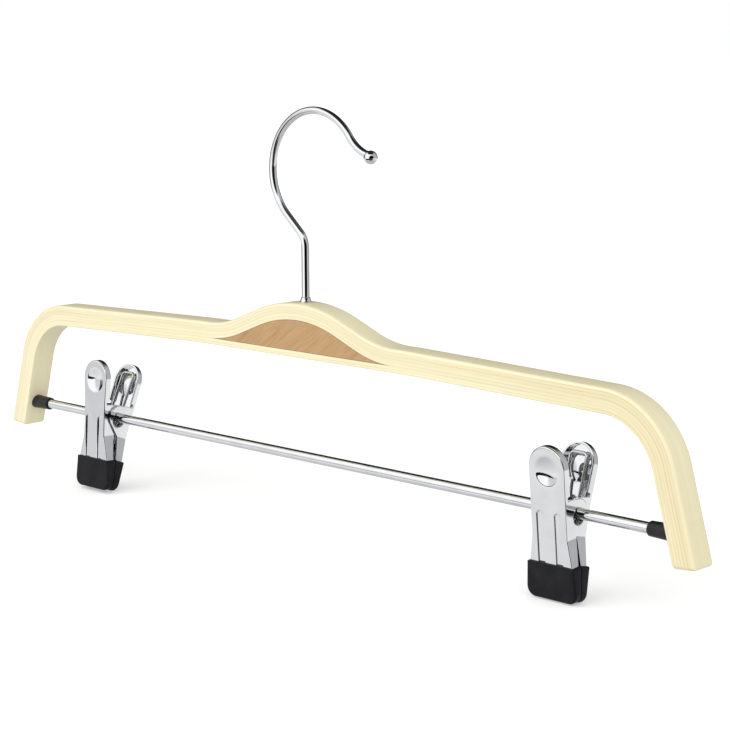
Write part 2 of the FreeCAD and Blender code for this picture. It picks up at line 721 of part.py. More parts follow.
def half_arc_middle(start, end, tangent):
    """Middle point of the arc that leaves start along a tangent and ends at end."""
    chord = end - start
    along = Vector(chord).normalize()
    aside = tangent - along * tangent.dot(along)
    turn = tangent.getAngle(chord)
    return start + chord * 0.5 + aside.normalize() * (chord.Length / 2 * math.tan(turn / 2))


def biarc(start, start_tangent, end, end_tangent):
    """Two arcs in space that join two points along their tangents."""
    span = end - start
    both = start_tangent + end_tangent
    share = 2 * (1 - start_tangent.dot(end_tangent))
    reach = (math.sqrt(span.dot(both) ** 2 + share * span.dot(span)) - span.dot(both)) / share
    joint = (start + start_tangent * reach + end - end_tangent * reach) * 0.5
    joint_tangent = (end - end_tangent * reach - start - start_tangent * reach).normalize()
    first = Part.Arc(start, half_arc_middle(start, joint, start_tangent), joint)
    second = Part.Arc(joint, half_arc_middle(joint, end, joint_tangent), end)
    return [first.toShape(), second.toShape()]


def side_point(x, from_pivot, height, lean):
    """Point of a plate's side view, turned by the plate's lean about the pivot."""
    return Rotation(Vector(1, 0, 0), lean).multVec(Vector(x, from_pivot, height))


def spring_path():
    """Edges of one half of the spring, from the middle of the bight to the end of a free leg."""
    inner_face = size.plate_to_pivot - size.sheet_thickness
    radius = (size.ear_hole_diameter + size.spring_wire) / 2
    aside = size.bight_width / 2
    top = side_point(aside, inner_face - size.bight_standoff, size.bight_height, -size.jaw_lean_angle)
    end = side_point(0, size.leg_standoff - inner_face, size.leg_height, size.jaw_lean_angle)
    start_angle = tangent_angle(Vector(top.y, top.z, 0), radius, -1)
    end_angle = tangent_angle(Vector(end.y, end.z, 0), radius, 1) - 360 * SPRING_WRAPS
    turns = (start_angle - end_angle) / 360
    drift = size.spring_pitch / (2 * math.pi)

    nodes = []
    spans = math.ceil(turns * SPRING_NODES_PER_WRAP)
    for index in range(spans + 1):
        angle = start_angle + (end_angle - start_angle) * index / spans
        swing = math.radians(angle)
        x = aside - size.spring_pitch * turns * index / spans
        slope = drift if 0 < index < spans else 0
        point = Vector(x, radius * math.cos(swing), radius * math.sin(swing))
        tangent = Vector(-slope, radius * math.sin(swing), -radius * math.cos(swing)).normalize()
        nodes.append((point, tangent))

    down = (nodes[0][0] - top).normalize()
    corner_side = Vector(aside - size.bight_corner, top.y, top.z)
    corner_end = top + down * size.bight_corner
    corner = Part.Arc(corner_side, half_arc_middle(corner_side, corner_end, Vector(1, 0, 0)), corner_end)
    edges = [Part.LineSegment(Vector(0, top.y, top.z), corner_side).toShape(), corner.toShape(),
             Part.LineSegment(corner_end, nodes[0][0]).toShape()]
    for (start, start_tangent), (finish, finish_tangent) in zip(nodes, nodes[1:]):
        edges += biarc(start, start_tangent, finish, finish_tangent)
    last = nodes[-1][0]
    edges.append(Part.LineSegment(last, Vector(last.x, end.y, end.z)).toShape())
    return edges


def spring_tube():
    """The whole spring as one unbroken tube."""
    half = spring_path()
    plane = Vector(0, 0, 0), Vector(1, 0, 0)
    other = [edge.mirror(*plane) for edge in half]
    path = Part.Wire(Part.__sortEdges__(list(reversed(other)) + half))
    start, tangent = path.OrderedEdges[0].firstVertex().Point, None
    first = path.OrderedEdges[0]
    if (first.lastVertex().Point - path.OrderedEdges[1].firstVertex().Point).Length > TOUCHING:
        start = first.lastVertex().Point
    far = first.firstVertex().Point if start == first.lastVertex().Point else first.lastVertex().Point
    tangent = far - start
    section = Part.Wire([Part.Circle(start, tangent, size.spring_wire / 2).toShape()])
    tube = path.makePipeShell([section], True, False)
    points = path.discretize(GAP_SAMPLES)
    step = path.Length / (GAP_SAMPLES - 1)
    skip = math.ceil(math.pi * size.spring_wire / step)
    nearest = min((points[index] - other_point).Length for index in range(len(points))
                  for other_point in points[index + skip:])
    print(f"spring: length {path.Length:.1f} mm, least gap to itself {nearest - size.spring_wire:.2f} mm, "
          f"volume share {tube.Volume / (path.Length * math.pi * size.spring_wire ** 2 / 4):.3f}")
    return tube


# Clips: the right one has its outer jaw in front, the left one is turned round
pivot_drop = (size.ear_hole_diameter - size.bar_diameter) / 2 - size.running_gap
outer_waist = size.waist_width
inner_waist = size.waist_width - 2 * (size.sheet_thickness + size.jaw_side_gap)
about_x = Vector(1, 0, 0)
half_round = Rotation(Vector(0, 0, 1), 180)
CLIPS = (("left", size.left_clip_inset - leg_inside, size.left_clip_lean_angle, "inner"),
         ("right", leg_inside - size.right_clip_inset, size.right_clip_lean_angle, "outer"))
for side, x, lean, front in CLIPS:
    pivot = on_frame(x, -pivot_drop, Rotation(about_x, lean))
    front_place = pivot.multiply(Placement(Vector(0, 0, 0), Rotation(about_x, size.jaw_lean_angle)))
    rear_place = pivot.multiply(Placement(Vector(0, 0, 0), Rotation(about_x, -size.jaw_lean_angle).multiply(half_round)))
    for kind, waist in (("outer", outer_waist), ("inner", inner_waist)):
        place = front_place if kind == front else rear_place
        name = f"{side}_{kind}_jaw"
        jaw_body = jaw(name, waist)
        jaw_body.Placement = place
        node(name, jaw_body)
        tip_name = f"{side}_{kind}_tip"
        node(tip_name, dipped_tip(tip_name, jaw_body, place))
    spring = doc.addObject("Part::Feature", side + "_spring_wire")
    spring.Shape = spring_tube()
    spring.Placement = pivot
    node(side + "_spring", spring)

# Everything is checked before any file is written
doc.recompute()
for item in doc.Objects:
    if "Invalid" in item.State or "Error" in item.State:
        raise RuntimeError(f"{item.Name} failed: {item.State}")
for name, piece in NODES.items():
    shape = piece.Shape
    if shape.isNull() or not shape.isValid() or not shape.Solids:
        raise RuntimeError(f"{name} has no valid solid")
os.makedirs("parts", exist_ok=True)
for name, piece in NODES.items():
    piece.Shape.exportStep(os.path.join("parts", name + ".step"))
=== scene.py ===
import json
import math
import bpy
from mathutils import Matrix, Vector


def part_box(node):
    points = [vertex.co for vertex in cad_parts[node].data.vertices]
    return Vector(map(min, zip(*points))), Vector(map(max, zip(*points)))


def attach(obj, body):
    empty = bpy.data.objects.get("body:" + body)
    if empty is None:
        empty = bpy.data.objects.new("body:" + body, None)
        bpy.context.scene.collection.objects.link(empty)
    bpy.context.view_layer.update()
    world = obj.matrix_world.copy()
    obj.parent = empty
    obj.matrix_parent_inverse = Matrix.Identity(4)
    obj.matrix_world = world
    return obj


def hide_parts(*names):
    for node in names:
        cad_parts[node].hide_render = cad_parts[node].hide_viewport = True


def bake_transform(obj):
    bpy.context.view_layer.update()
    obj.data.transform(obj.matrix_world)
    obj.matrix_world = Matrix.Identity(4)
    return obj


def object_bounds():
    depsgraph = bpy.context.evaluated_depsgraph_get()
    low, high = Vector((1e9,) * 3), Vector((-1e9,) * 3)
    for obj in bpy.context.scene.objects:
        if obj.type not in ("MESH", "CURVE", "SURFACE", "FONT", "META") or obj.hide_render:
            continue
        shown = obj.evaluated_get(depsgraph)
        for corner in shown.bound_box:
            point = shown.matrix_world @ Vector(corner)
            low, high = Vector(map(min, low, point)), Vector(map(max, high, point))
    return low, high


bl_info = {
    "name": "Skirt hanger",
    "version": (1, 0, 0),
    "blender": (4, 5, 0),
    "location": "View3D > Sidebar > Hanger",
    "description": "Builds a bent wood skirt hanger with a swivel hook, a steel bar and two sprung clips",
    "category": "Add Mesh",
}

from types import SimpleNamespace

import bmesh
import bpy
import numpy as np
from bpy.props import FloatProperty, FloatVectorProperty, PointerProperty
from mathutils import Matrix, Vector
from mathutils.geometry import delaunay_2d_cdt
from mathutils.kdtree import KDTree

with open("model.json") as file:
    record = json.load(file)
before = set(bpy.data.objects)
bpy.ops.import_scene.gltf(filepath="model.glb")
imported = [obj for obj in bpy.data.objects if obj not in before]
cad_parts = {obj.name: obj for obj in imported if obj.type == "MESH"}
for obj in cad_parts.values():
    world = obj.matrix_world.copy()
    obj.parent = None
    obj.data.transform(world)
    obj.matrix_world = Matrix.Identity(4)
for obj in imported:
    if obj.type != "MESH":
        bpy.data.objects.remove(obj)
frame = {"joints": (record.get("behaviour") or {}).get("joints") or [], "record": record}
CAD_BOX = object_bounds()

UPPER_PLIES = 5
LOWER_PLIES = 2
SPRING_WRAPS = 2
TINY = 1e-7


# Sizes and colours that a user would change

def length(name, description, default):
    return FloatProperty(name=name, description=description, default=default, min=0, precision=5,
                         unit="LENGTH", subtype="DISTANCE")


def shift(name, description, default):
    return FloatProperty(name=name, description=description, default=default, precision=5,
                         unit="LENGTH", subtype="DISTANCE")


def angle(name, description, degrees):
    return FloatProperty(name=name, description=description, default=math.radians(degrees),
                         unit="ROTATION", subtype="ANGLE")


def colour(name, description, red, green, blue):
    return FloatVectorProperty(name=name, description=description, default=(red, green, blue), size=3,
                               min=0, max=1, subtype="COLOR")


class HangerWood(bpy.types.PropertyGroup):
    """Sizes of the bent wooden arch, measured from the bar's axis"""
    overall_width: length("Overall width", "Width over the outer corners of the legs", 0.380)
    depth: length("Depth", "Wood from front to back", 0.0112)
    ply: length("Ply", "Thickness of one veneer", 0.0013)
    bar_to_wood: length("Bar to wood", "From the bar's axis up to the underside of the arch", 0.0408)
    leg_splay: angle("Leg splay", "How far the legs spread from upright", 15.8)
    leg_below_bar: length("Leg below bar", "How far the legs reach below the bar's axis", 0.0101)
    leg_end_tilt: angle("Leg end tilt", "Tilt of the cut under each leg", 4.8)
    leg_end_round: length("Leg end round", "Rounding of the legs' ends at front and back", 0.0015)
    shoulder_droop: angle("Shoulder droop", "Fall of the shoulders towards the corners", 1.57)
    corner_radius: length("Corner radius", "Bend between shoulder and leg at the ply line", 0.0259)
    bow_radius: length("Bow radius", "Soft bend beside the hump at the ply line", 0.400)
    outer_round: length("Outer edge round", "Rounding of the outermost veneer's edges", 0.0012)
    inner_round: length("Inner edge round", "Rounding of the innermost veneer's edges", 0.0005)
    core_rise: length("Core rise", "Height of the core block", 0.0124)
    core_reach: length("Core reach", "From the middle to where the plies close", 0.0524)
    core_tip: length("Core tip", "Height of the core block's blunt tip", 0.00015)
    crown_radius: length("Crown radius", "Bend over the top of the core block", 0.0568)
    foot_radius: length("Foot radius", "Bend at the foot of the hump", 0.0537)


class HangerHook(bpy.types.PropertyGroup):
    """Sizes of the swivel hook and its ferrule"""
    wire: length("Wire", "Diameter of the hook's wire", 0.003)
    crown_radius: length("Crown radius", "Bend of the hook's crown", 0.0236)
    bend_radius: length("Bend radius", "Bend above the stem", 0.0078)
    bend_angle: angle("Bend angle", "Turn above the stem", 48.2)
    neck_run: length("Neck run", "Straight run between stem bend and crown", 0.010)
    mouth_angle: angle("Mouth angle", "Where the crown ends and the flick begins", 36.8)
    flick_radius: length("Flick radius", "Bend of the outward flick", 0.018)
    flick_angle: angle("Flick angle", "Turn of the outward flick", 30.0)
    tail: length("Tail", "Straight run into the ball", 0.0042)
    ball: length("Ball", "Diameter of the ball tip", 0.0053)
    rivet: length("Rivet head", "Diameter of the riveted foot", 0.005)
    rivet_height: length("Rivet head height", "Height of the riveted foot", 0.001)
    bore: length("Bore", "Diameter of the bore through the wood", 0.00312)
    recess: length("Recess", "Diameter of the washer's recess", 0.008)
    ferrule_height: length("Ferrule height", "Height of the flared collar", 0.0021)
    ferrule_base: length("Ferrule base", "Diameter of the collar on the wood", 0.0047)
    ferrule_top: length("Ferrule top", "Diameter of the collar's upper rim", 0.0037)


class HangerBar(bpy.types.PropertyGroup):
    """Sizes of the bar and its end sleeves"""
    bar: length("Bar", "Diameter of the bar", 0.0041)
    sleeve: length("Sleeve", "Length of the sleeve outside the leg", 0.0103)
    small_end: length("Small end", "Diameter of the sleeve's free end", 0.0055)
    plug: length("Plug", "Diameter of the sleeve in the leg", 0.0062)
    plug_depth: length("Plug depth", "How deep the sleeve sits in the leg", 0.005)
    end_round: length("End round", "Rounding of the sleeve's free end", 0.0006)


class HangerClip(bpy.types.PropertyGroup):
    """Sizes of the stamped jaws, dipped tips and springs, measured from the clip's pivot"""
    sheet: length("Sheet", "Thickness of the stamped sheet", 0.0008)
    lean: angle("Jaw lean", "Lean of each jaw from the clip's middle plane", 9.3)
    plate: length("Plate", "From the pivot to the outside of the plate", 0.0072)
    handle: length("Handle", "Height of the handle above the pivot", 0.0261)
    drop: length("Drop", "Reach of the sheet below the pivot", 0.0297)
    head: length("Head", "Width of the handle", 0.016)
    waist: length("Waist", "Width at the ears of the outer jaw", 0.0158)
    foot: length("Foot", "Width at the foot", 0.0194)
    flare_top: length("Flare top", "Where the foot begins to flare, below the pivot", 0.0074)
    flare_bottom: length("Flare bottom", "Where the flare ends, below the pivot", 0.0184)
    bend_round: length("Bend round", "Rounding of the outline's bends", 0.006)
    toe_round: length("Toe round", "Rounding of the foot's corners", 0.002)
    fold_round: length("Fold round", "Outside radius between plate and flange", 0.0003)
    head_round: length("Head round", "Outside radius of the fold over the handle's top", 0.0007)
    side_gap: length("Side gap", "Play between the nested ears", 0.00015)
    rim: length("Rim", "Depth of the rim round the handle", 0.0028)
    ear: length("Ear", "Radius of the ears round the bar", 0.0051)
    ear_rise: length("Ear rise", "Middle of the ears above the pivot", 0.0014)
    hole: length("Ear hole", "Diameter of the hole in the ears", 0.0064)
    ear_top: length("Ear top", "Where the ears end, above the pivot", 0.0071)
    notch: length("Notch", "Width of the relief notch above the ears", 0.0014)
    notch_floor: length("Notch floor", "Flange left beside the notch", 0.0013)
    split: length("Flange split", "Gap between the flanges of the two jaws", 0.0015)
    apex: length("Flange apex", "Where the flanges part, below the pivot", 0.0070)
    dimple: length("Dimple", "Diameter of the thumb dimple", 0.0105)
    dimple_depth: length("Dimple depth", "Depth of the thumb dimple", 0.0012)
    dimple_height: length("Dimple height", "Height of the dimple above the pivot", 0.0171)
    rib: length("Rib", "Width of a pressed rib", 0.0032)
    rib_depth: length("Rib depth", "Depth of a pressed rib", 0.0005)
    rib_spacing: length("Rib spacing", "Between the middles of the two ribs", 0.008)
    rib_top: length("Rib top", "Upper end of the ribs, above the pivot", 0.0022)
    rib_bottom: length("Rib bottom", "Lower end of the ribs, below the pivot", 0.0189)
    coat: length("Coat", "Thickness of the dipped coat on the plate", 0.0008)
    coat_top: length("Coat top", "Upper edge of the coat, below the pivot", 0.0172)
    coat_bottom: length("Coat bottom", "Lower edge of the coat, below the pivot", 0.0306)
    coat_top_width: length("Coat top width", "Width of the coat's upper edge", 0.0209)
    coat_bottom_width: length("Coat bottom width", "Width of the coat's lower edge", 0.0228)
    coat_corner: length("Coat corner", "Rounding of the coat's lower corners", 0.0036)
    coat_edge: length("Coat edge", "Rounding of the coat's front edges", 0.0009)
    pad_gap: length("Pad gap", "Gap between the two closed tips", 0.0003)
    wire: length("Spring wire", "Diameter of the spring's wire", 0.0012)
    pitch: length("Spring pitch", "Advance of the coils for each turn", 0.00175)
    bight_width: length("Bight width", "Width of the spring's bight", 0.0074)
    bight_height: length("Bight height", "Height of the bight above the pivot", 0.0222)
    bight_corner: length("Bight corner", "Rounding of the bight's corners", 0.0017)
    bight_standoff: length("Bight standoff", "From the bight's axis to the plate", 0.0014)
    leg_height: length("Leg height", "Height of the spring's free legs", 0.0104)
    leg_standoff: length("Leg standoff", "From a free leg's axis to the plate", 0.00075)


class HangerFinish(bpy.types.PropertyGroup):
    """Colours of the materials"""
    pale_wood: colour("Pale wood", "Face of the bent veneers", 0.92, 0.87, 0.605)
    pale_grain: colour("Pale grain", "Darker fibres of the bent veneers", 0.74, 0.62, 0.36)
    glue_line: colour("Glue line", "Line between two veneers", 0.60, 0.44, 0.20)
    core_wood: colour("Core wood", "Side of the core block", 0.57, 0.362, 0.17)
    core_edge: colour("Core edge", "Glued edge of the core block", 0.17, 0.11, 0.06)
    core_grain: colour("Core grain", "Darker fibres of the core block", 0.33, 0.175, 0.075)
    chrome: colour("Chrome", "Polished plating", 0.82, 0.83, 0.845)
    chrome_haze: colour("Chrome haze", "Plating where it is dull", 0.75, 0.76, 0.775)
    spring: colour("Spring steel", "Plated spring wire", 0.62, 0.62, 0.63)
    vinyl: colour("Soft vinyl", "Dipped tips", 0.010, 0.010, 0.012)
    vinyl_bloom: colour("Vinyl bloom", "Paler handling marks on the tips", 0.018, 0.018, 0.020)
    sleeve: colour("Sleeve plastic", "End sleeves of the bar", 0.012, 0.012, 0.013)
    floor: colour("Floor", "Studio floor", 0.85, 0.85, 0.85)


class HangerView(bpy.types.PropertyGroup):
    """Place of the camera, turned about the middle of the bar"""
    turn: angle("Turn", "Camera round to the right of the front", 44.06)
    tilt: angle("Tilt", "Camera above the horizon", 9.688)
    roll: angle("Roll", "Camera turned about its own axis", -0.281)
    aside: shift("Aside", "Camera moved along the picture's width", 0.02301)
    above: shift("Above", "Camera moved along the picture's height", 0.036713)
    distance: length("Distance", "From the camera to the bar's middle", 0.79225)
    lens: FloatProperty(name="Lens", description="Focal length on a 36 mm sensor", default=97.894, min=1,
                        subtype="DISTANCE_CAMERA")


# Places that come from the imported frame

def middle_of_bar():
    low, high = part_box("bar")
    return (low + high) / 2


def joint_place(name):
    return next(Vector(joint["pos_m"]) for joint in frame["joints"] if joint["name"] == name)


def clip_lean(side):
    """Angle by which a clip leans on the bar, read from the axis of its grip."""
    axis = next(mount["axis"] for mount in frame["record"]["mounts"] if mount["name"] == f"{side}_clip_grip")
    return math.atan2(axis[1], -axis[2])


# Mesh helpers

UP = Vector((0, 0, 1))
MERGE_DISTANCE = 1e-6
LEAST_EDGE = 1e-8
LEAST_SQUARE = 1e-18
TRIANGLE_LIMIT = 1e-9
SHARP_ANGLE = 32.0
ROUND_SHARP_ANGLE = 50.0
TURNED_SIDES = 48
FINE_SIDES = 64
ROUND_STEPS = 6
LEAST_BEND_STEPS = 3

# Even triangles stand in rows this share of their side apart, and stay this share of it off an edge
ROW_SHARE = 0.866
CLEAR_SHARE = 0.55

# A straight run gets no further point for this share of a step
SPARE_SHARE = 0.01


def placed(name, data):
    """A new object for a mesh, lamp or camera, linked into the scene."""
    thing = bpy.data.objects.new(name, data)
    bpy.context.scene.collection.objects.link(thing)
    return thing


def piece(name, mesh, material, body, slot, *nodes):
    """Places a finished mesh in the scene, on its body and for its CAD nodes."""
    mesh.name = name
    mesh.materials.clear()
    mesh.materials.append(material)
    thing = placed(name, mesh)
    if body:
        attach(thing, body)
    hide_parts(*nodes)
    return thing


def plain_mesh(thing):
    """The thing's shape after its modifiers, as a mesh of its own; the thing itself is removed."""
    bpy.context.view_layer.update()
    shaped = thing.evaluated_get(bpy.context.evaluated_depsgraph_get())
    mesh = bpy.data.meshes.new_from_object(shaped)
    old = thing.data
    bpy.data.objects.remove(thing)
    bpy.data.meshes.remove(old)
    if not mesh.polygons:
        raise RuntimeError("a shape came out empty")
    return mesh


def smooth(mesh, degrees=SHARP_ANGLE):
    mesh.shade_smooth()
    mesh.set_sharp_from_angle(angle=math.radians(degrees))
    return mesh


def to_mesh(shape):
    """A bmesh as a mesh; the bmesh is freed."""
    mesh = bpy.data.meshes.new("shape")
    shape.to_mesh(mesh)
    shape.free()
    return mesh


def merged(shape):
    """A bmesh as a mesh, with its doubles merged and its faces turned outwards."""
    bmesh.ops.remove_doubles(shape, verts=shape.verts, dist=MERGE_DISTANCE)
    bmesh.ops.recalc_face_normals(shape, faces=shape.faces)
    return to_mesh(shape)


def joined(meshes):
    """Several closed meshes as one."""
    shape = bmesh.new()
    for mesh in meshes:
        shape.from_mesh(mesh)
        bpy.data.meshes.remove(mesh)
    return to_mesh(shape)


def skin(shape, rings):
    """Faces between closed rings of vertices of equal count, in order."""
    for low, high in zip(rings, rings[1:]):
        for index in range(len(low)):
            ahead = (index + 1) % len(low)
            shape.faces.new((low[index], low[ahead], high[ahead], high[index]))


def skin_points(shape, rings):
    """Skins closed rings of points, and returns the first and the last ring of vertices."""
    made = [[shape.verts.new(point) for point in ring] for ring in rings]
    skin(shape, made)
    return made[0], made[-1]


def turned(profile, origin, axis, sides=TURNED_SIDES):
    """Turned solid from (along, radius) points; ends of no radius close it, other ends join up."""
    along = axis.normalized()
    across = along.orthogonal().normalized()
    other = along.cross(across)
    shape = bmesh.new()
    rings = []
    for place, radius in profile:
        centre = origin + along * place
        ring = []
        for index in range(sides):
            swing = 2 * math.pi * index / sides
            ring.append(centre + (across * math.cos(swing) + other * math.sin(swing)) * radius)
        rings.append(ring)
    skin_points(shape, rings)
    bmesh.ops.dissolve_degenerate(shape, dist=LEAST_EDGE, edges=shape.edges)
    return smooth(merged(shape))


def flat(swing):
    """Direction at an angle in a flat outline."""
    return Vector((math.cos(swing), math.sin(swing)))


def stood(point):
    """A flat point stood up in the hanger's middle plane."""
    return Vector((point.x, 0, point.y))


def quarter_turn(steps):
    """Angles from nought to a right angle."""
    return [math.pi / 2 * step / steps for step in range(steps + 1)]


def quarter(start, corner, end):
    """Points of a rounded corner in a profile, from start round the corner to end."""
    points = []
    for swing in quarter_turn(ROUND_STEPS):
        first = 1 - math.sin(swing)
        last = 1 - math.cos(swing)
        points.append((corner[0] + (start[0] - corner[0]) * first + (end[0] - corner[0]) * last,
                       corner[1] + (start[1] - corner[1]) * first + (end[1] - corner[1]) * last))
    return points


def arc_points(centre, radius, start, end, steps):
    """Points of an arc in a flat outline, angles in radians."""
    return [centre + flat(start + (end - start) * index / steps) * radius for index in range(steps + 1)]


def run_to(points, end, step):
    """Carries a line of points straight on to its next end."""
    gap = end - points[-1]
    count = math.ceil(gap.length / step - SPARE_SHARE)
    start = points[-1]
    for index in range(1, count + 1):
        points.append(start + gap * index / count)


def rounded_line(corners, step):
    """Points along a line through (point, radius) corners, each inner corner rounded by its radius."""
    points = [corners[0][0].copy()]
    for (before, _), (corner, radius), (after, _) in zip(corners, corners[1:], corners[2:]):
        back = (before - corner).normalized()
        ahead = (after - corner).normalized()
        half = back.angle(ahead) / 2
        start = corner + back * (radius / math.tan(half))
        end = corner + ahead * (radius / math.tan(half))
        centre = corner + (back + ahead).normalized() * (radius / math.sin(half))
        turn = math.pi - 2 * half
        if (start - centre).cross(end - centre) < 0:
            turn = -turn
        begin = math.atan2(start.y - centre.y, start.x - centre.x)
        run_to(points, start, step)
        count = max(LEAST_BEND_STEPS, math.ceil(abs(turn) * radius / step))
        points += arc_points(centre, radius, begin, begin + turn, count)[1:]
    run_to(points, corners[-1][0], step)
    return points


def mirrored(points):
    """Flat points on the other side of the middle, in reverse order."""
    return [Vector((-point.x, point.y)) for point in reversed(points)]


def inward_of(loop):
    """Inward direction at each point of a closed outline."""
    inward = []
    for index, ahead in enumerate(loop[1:] + loop[:1]):
        run = (ahead - loop[index - 1]).normalized()
        inward.append(Vector((run.y, -run.x)))
    return inward


def run_along(points):
    """Length of a line from its start to each of its points."""
    run = [0.0]
    for before, after in zip(points, points[1:]):
        run.append(run[-1] + (after - before).length)
    return run


def inside(points, loop):
    """Mask of the points that lie inside a closed loop."""
    result = np.zeros(len(points), bool)
    ahead = np.roll(loop, -1, axis=0)
    for (x0, y0), (x1, y1) in zip(loop, ahead):
        crosses = (y0 > points[:, 1]) != (y1 > points[:, 1])
        if crosses.any():
            at = x0 + (points[:, 1] - y0) * (x1 - x0) / (y1 - y0)
            result ^= crosses & (points[:, 0] < at)
    return result


def off_loop(points, loop):
    """Distance of each point from a closed loop."""
    nearest = np.full(len(points), np.inf)
    for start, end in zip(loop, np.roll(loop, -1, axis=0)):
        run = end - start
        share = np.clip(((points - start) @ run) / max(run @ run, LEAST_SQUARE), 0, 1)
        nearest = np.minimum(nearest, np.linalg.norm(points - start - share[:, None] * run, axis=1))
    return nearest


def filled(loop, holes, step):
    """Flat region inside a loop and outside its holes as (points, triangles), evenly divided."""
    loops = [np.array(loop)] + [np.array(hole) for hole in holes]
    low = loops[0].min(0)
    high = loops[0].max(0)
    rows = np.arange(low[1], high[1], step * ROW_SHARE)
    columns = np.arange(low[0], high[0], step)
    grid = np.array([(x + (step / 2 if row % 2 else 0), y) for row, y in enumerate(rows) for x in columns])
    keep = inside(grid, loops[0])
    for line in loops:
        keep &= off_loop(grid, line) > step * CLEAR_SHARE
    for hole in loops[1:]:
        keep &= ~inside(grid, hole)
    points = []
    edges = []
    for line in loops:
        base = len(points)
        points += [Vector(point) for point in line]
        edges += [(base + index, base + (index + 1) % len(line)) for index in range(len(line))]
    points += [Vector(point) for point in grid[keep]]
    found = delaunay_2d_cdt(points, edges, [], 1, TRIANGLE_LIMIT)
    places = np.array([tuple(point) for point in found[0]])
    triangles = np.array([tuple(face) for face in found[2]])
    middles = places[triangles].mean(axis=1)
    good = inside(middles, loops[0])
    for hole in loops[1:]:
        good &= ~inside(middles, hole)
    return places, triangles[good]


# Node helpers

def feed(tree, target, inputs):
    """Links a node's named inputs to other nodes' outputs, or sets them to plain values."""
    for label, value in inputs.items():
        if isinstance(value, bpy.types.NodeSocket):
            tree.links.new(value, target.inputs[label])
        else:
            target.inputs[label].default_value = value


def node(tree, kind, inputs, **settings):
    """New node with its settings and inputs."""
    made = tree.nodes.new(kind)
    for label, value in settings.items():
        setattr(made, label, value)
    feed(tree, made, inputs)
    return made


def new_group(name, kind, inputs, outputs):
    """Node group with named sockets, and its input and output nodes."""
    tree = bpy.data.node_groups.new(name, kind)
    for way, sockets in (("INPUT", inputs), ("OUTPUT", outputs)):
        for label, socket in sockets.items():
            tree.interface.new_socket(label, in_out=way, socket_type="NodeSocket" + socket)
    return tree, tree.nodes.new("NodeGroupInput"), tree.nodes.new("NodeGroupOutput")


# Wires: one Geometry Nodes tree lays a round wire along any path

def wire_tree():
    """Geometry Nodes tree that turns a path of edges into a round wire with closed ends."""
    known = bpy.data.node_groups.get("Wire along a path")
    if known:
        return known
    tree, start, end = new_group(
        "Wire along a path", "GeometryNodeTree",
        {"Path": "Geometry", "Wire radius": "Float", "Sides": "Int", "Finish": "Material"},
        {"Wire": "Geometry"})
    given = start.outputs
    curve = node(tree, "GeometryNodeMeshToCurve", {"Mesh": given["Path"]})
    circle = node(tree, "GeometryNodeCurvePrimitiveCircle",
                  {"Radius": given["Wire radius"], "Resolution": given["Sides"]})
    tube = node(tree, "GeometryNodeCurveToMesh", {"Curve": curve.outputs["Curve"], "Fill Caps": True,
                                                  "Profile Curve": circle.outputs["Curve"]})
    soft = node(tree, "GeometryNodeSetShadeSmooth", {"Geometry": tube.outputs["Mesh"]})
    real = node(tree, "GeometryNodeRealizeInstances", {"Geometry": soft.outputs["Geometry"]})
    paint = node(tree, "GeometryNodeSetMaterial",
                 {"Geometry": real.outputs["Geometry"], "Material": given["Finish"]})
    feed(tree, end, {"Wire": paint.outputs["Geometry"]})
    return tree


def wire(points, diameter, sides, material):
    """Round wire along points, as a plain mesh."""
    path = bpy.data.meshes.new("path")
    path.from_pydata(points, [(index, index + 1) for index in range(len(points) - 1)], [])
    thing = placed("helper", path)
    layer = thing.modifiers.new("Wire", "NODES")
    layer.node_group = wire_tree()
    values = {"Wire radius": diameter / 2, "Sides": sides, "Finish": material}
    for item in layer.node_group.interface.items_tree:
        if item.name in values and item.in_out == "INPUT":
            layer[item.identifier] = values[item.name]
    mesh = plain_mesh(thing)
    shape = bmesh.new()
    shape.from_mesh(mesh)
    bpy.data.meshes.remove(mesh)
    return smooth(merged(shape), ROUND_SHARP_ANGLE)


# Shader groups and materials

# Grain: waves for each metre along a bent piece, across its depth and through its height
PALE_FIBRE = (38, 2600, 2600)
PALE_FIGURE = (9, 260, 260)
CORE_FIBRE = (110, 2600, 2300)
CORE_FIGURE = (40, 300, 520)
CORE_SLANT = 0.6
GRAIN_ROUGHNESS = 0.6

# Glue lines: where they are full and where they end beside a joint, and how they come and go along it
GLUE_LINE = (0.00003, 0.00022)
GLUE_PATCHES = 16.0
GLUE_PATCH_SHIFT = 3.7
GLUE_PATCH_RANGE = (0.36, 0.66, 0.12, 1.0)
# Glue lines are real dark joints; their strength rising towards the right leg is painted shade
GLUE_STRENGTH_WITH_SHADE = (0.0, 0.2, 0.42, 0.8)

# Shares of the darker tone in the pale wood
FIBRE_SHARE = 0.30
FIGURE_SHARE = 0.22
PLY_SHARE = 0.16
# Painted shade: the front and back faces of the veneers darken towards and along the right leg
LEG_SHADE_RANGE = (0.06, 0.24, 0, 0.3)

# Shares of the darker tone in the core, its open pores, and the dark line along its glued edge
CORE_FIBRE_SHARE = 0.42
CORE_PORE_SHARE = 0.4
CORE_FIGURE_SHARE = 0.3
CORE_PORES = (0.78, 0.98, 0, 1)
CORE_EDGE_LINE = (0.00004, 0.0004, 0.75, 0)

# Roughness from smooth to dull, lacquer, and bumps as strength and depth
PALE_ROUGHNESS = (0.36, 0.5)
PALE_LACQUER = {"Coat Weight": 0.2, "Coat Roughness": 0.22}
PALE_BUMP = (0.35, 0.00006)
PALE_FIBRE_RELIEF = 0.3
CORE_ROUGHNESS = (0.45, 0.62)
CORE_BUMP = (0.3, 0.00005)
METAL_DEPTH = 0.00003
PLASTIC_DEPTH = 0.00004

# Handling marks: waves of the smudges and of the fine texture for each metre
METAL_MARKS = (90, 420)
VINYL_MARKS = (160, 2400)
SLEEVE_MARKS = (160, 3000)


def rgba(value):
    return (*value, 1.0)


def blank_material(name):
    material = bpy.data.materials.new(name)
    material.use_nodes = True
    return material, material.node_tree, material.node_tree.nodes["Principled BSDF"]


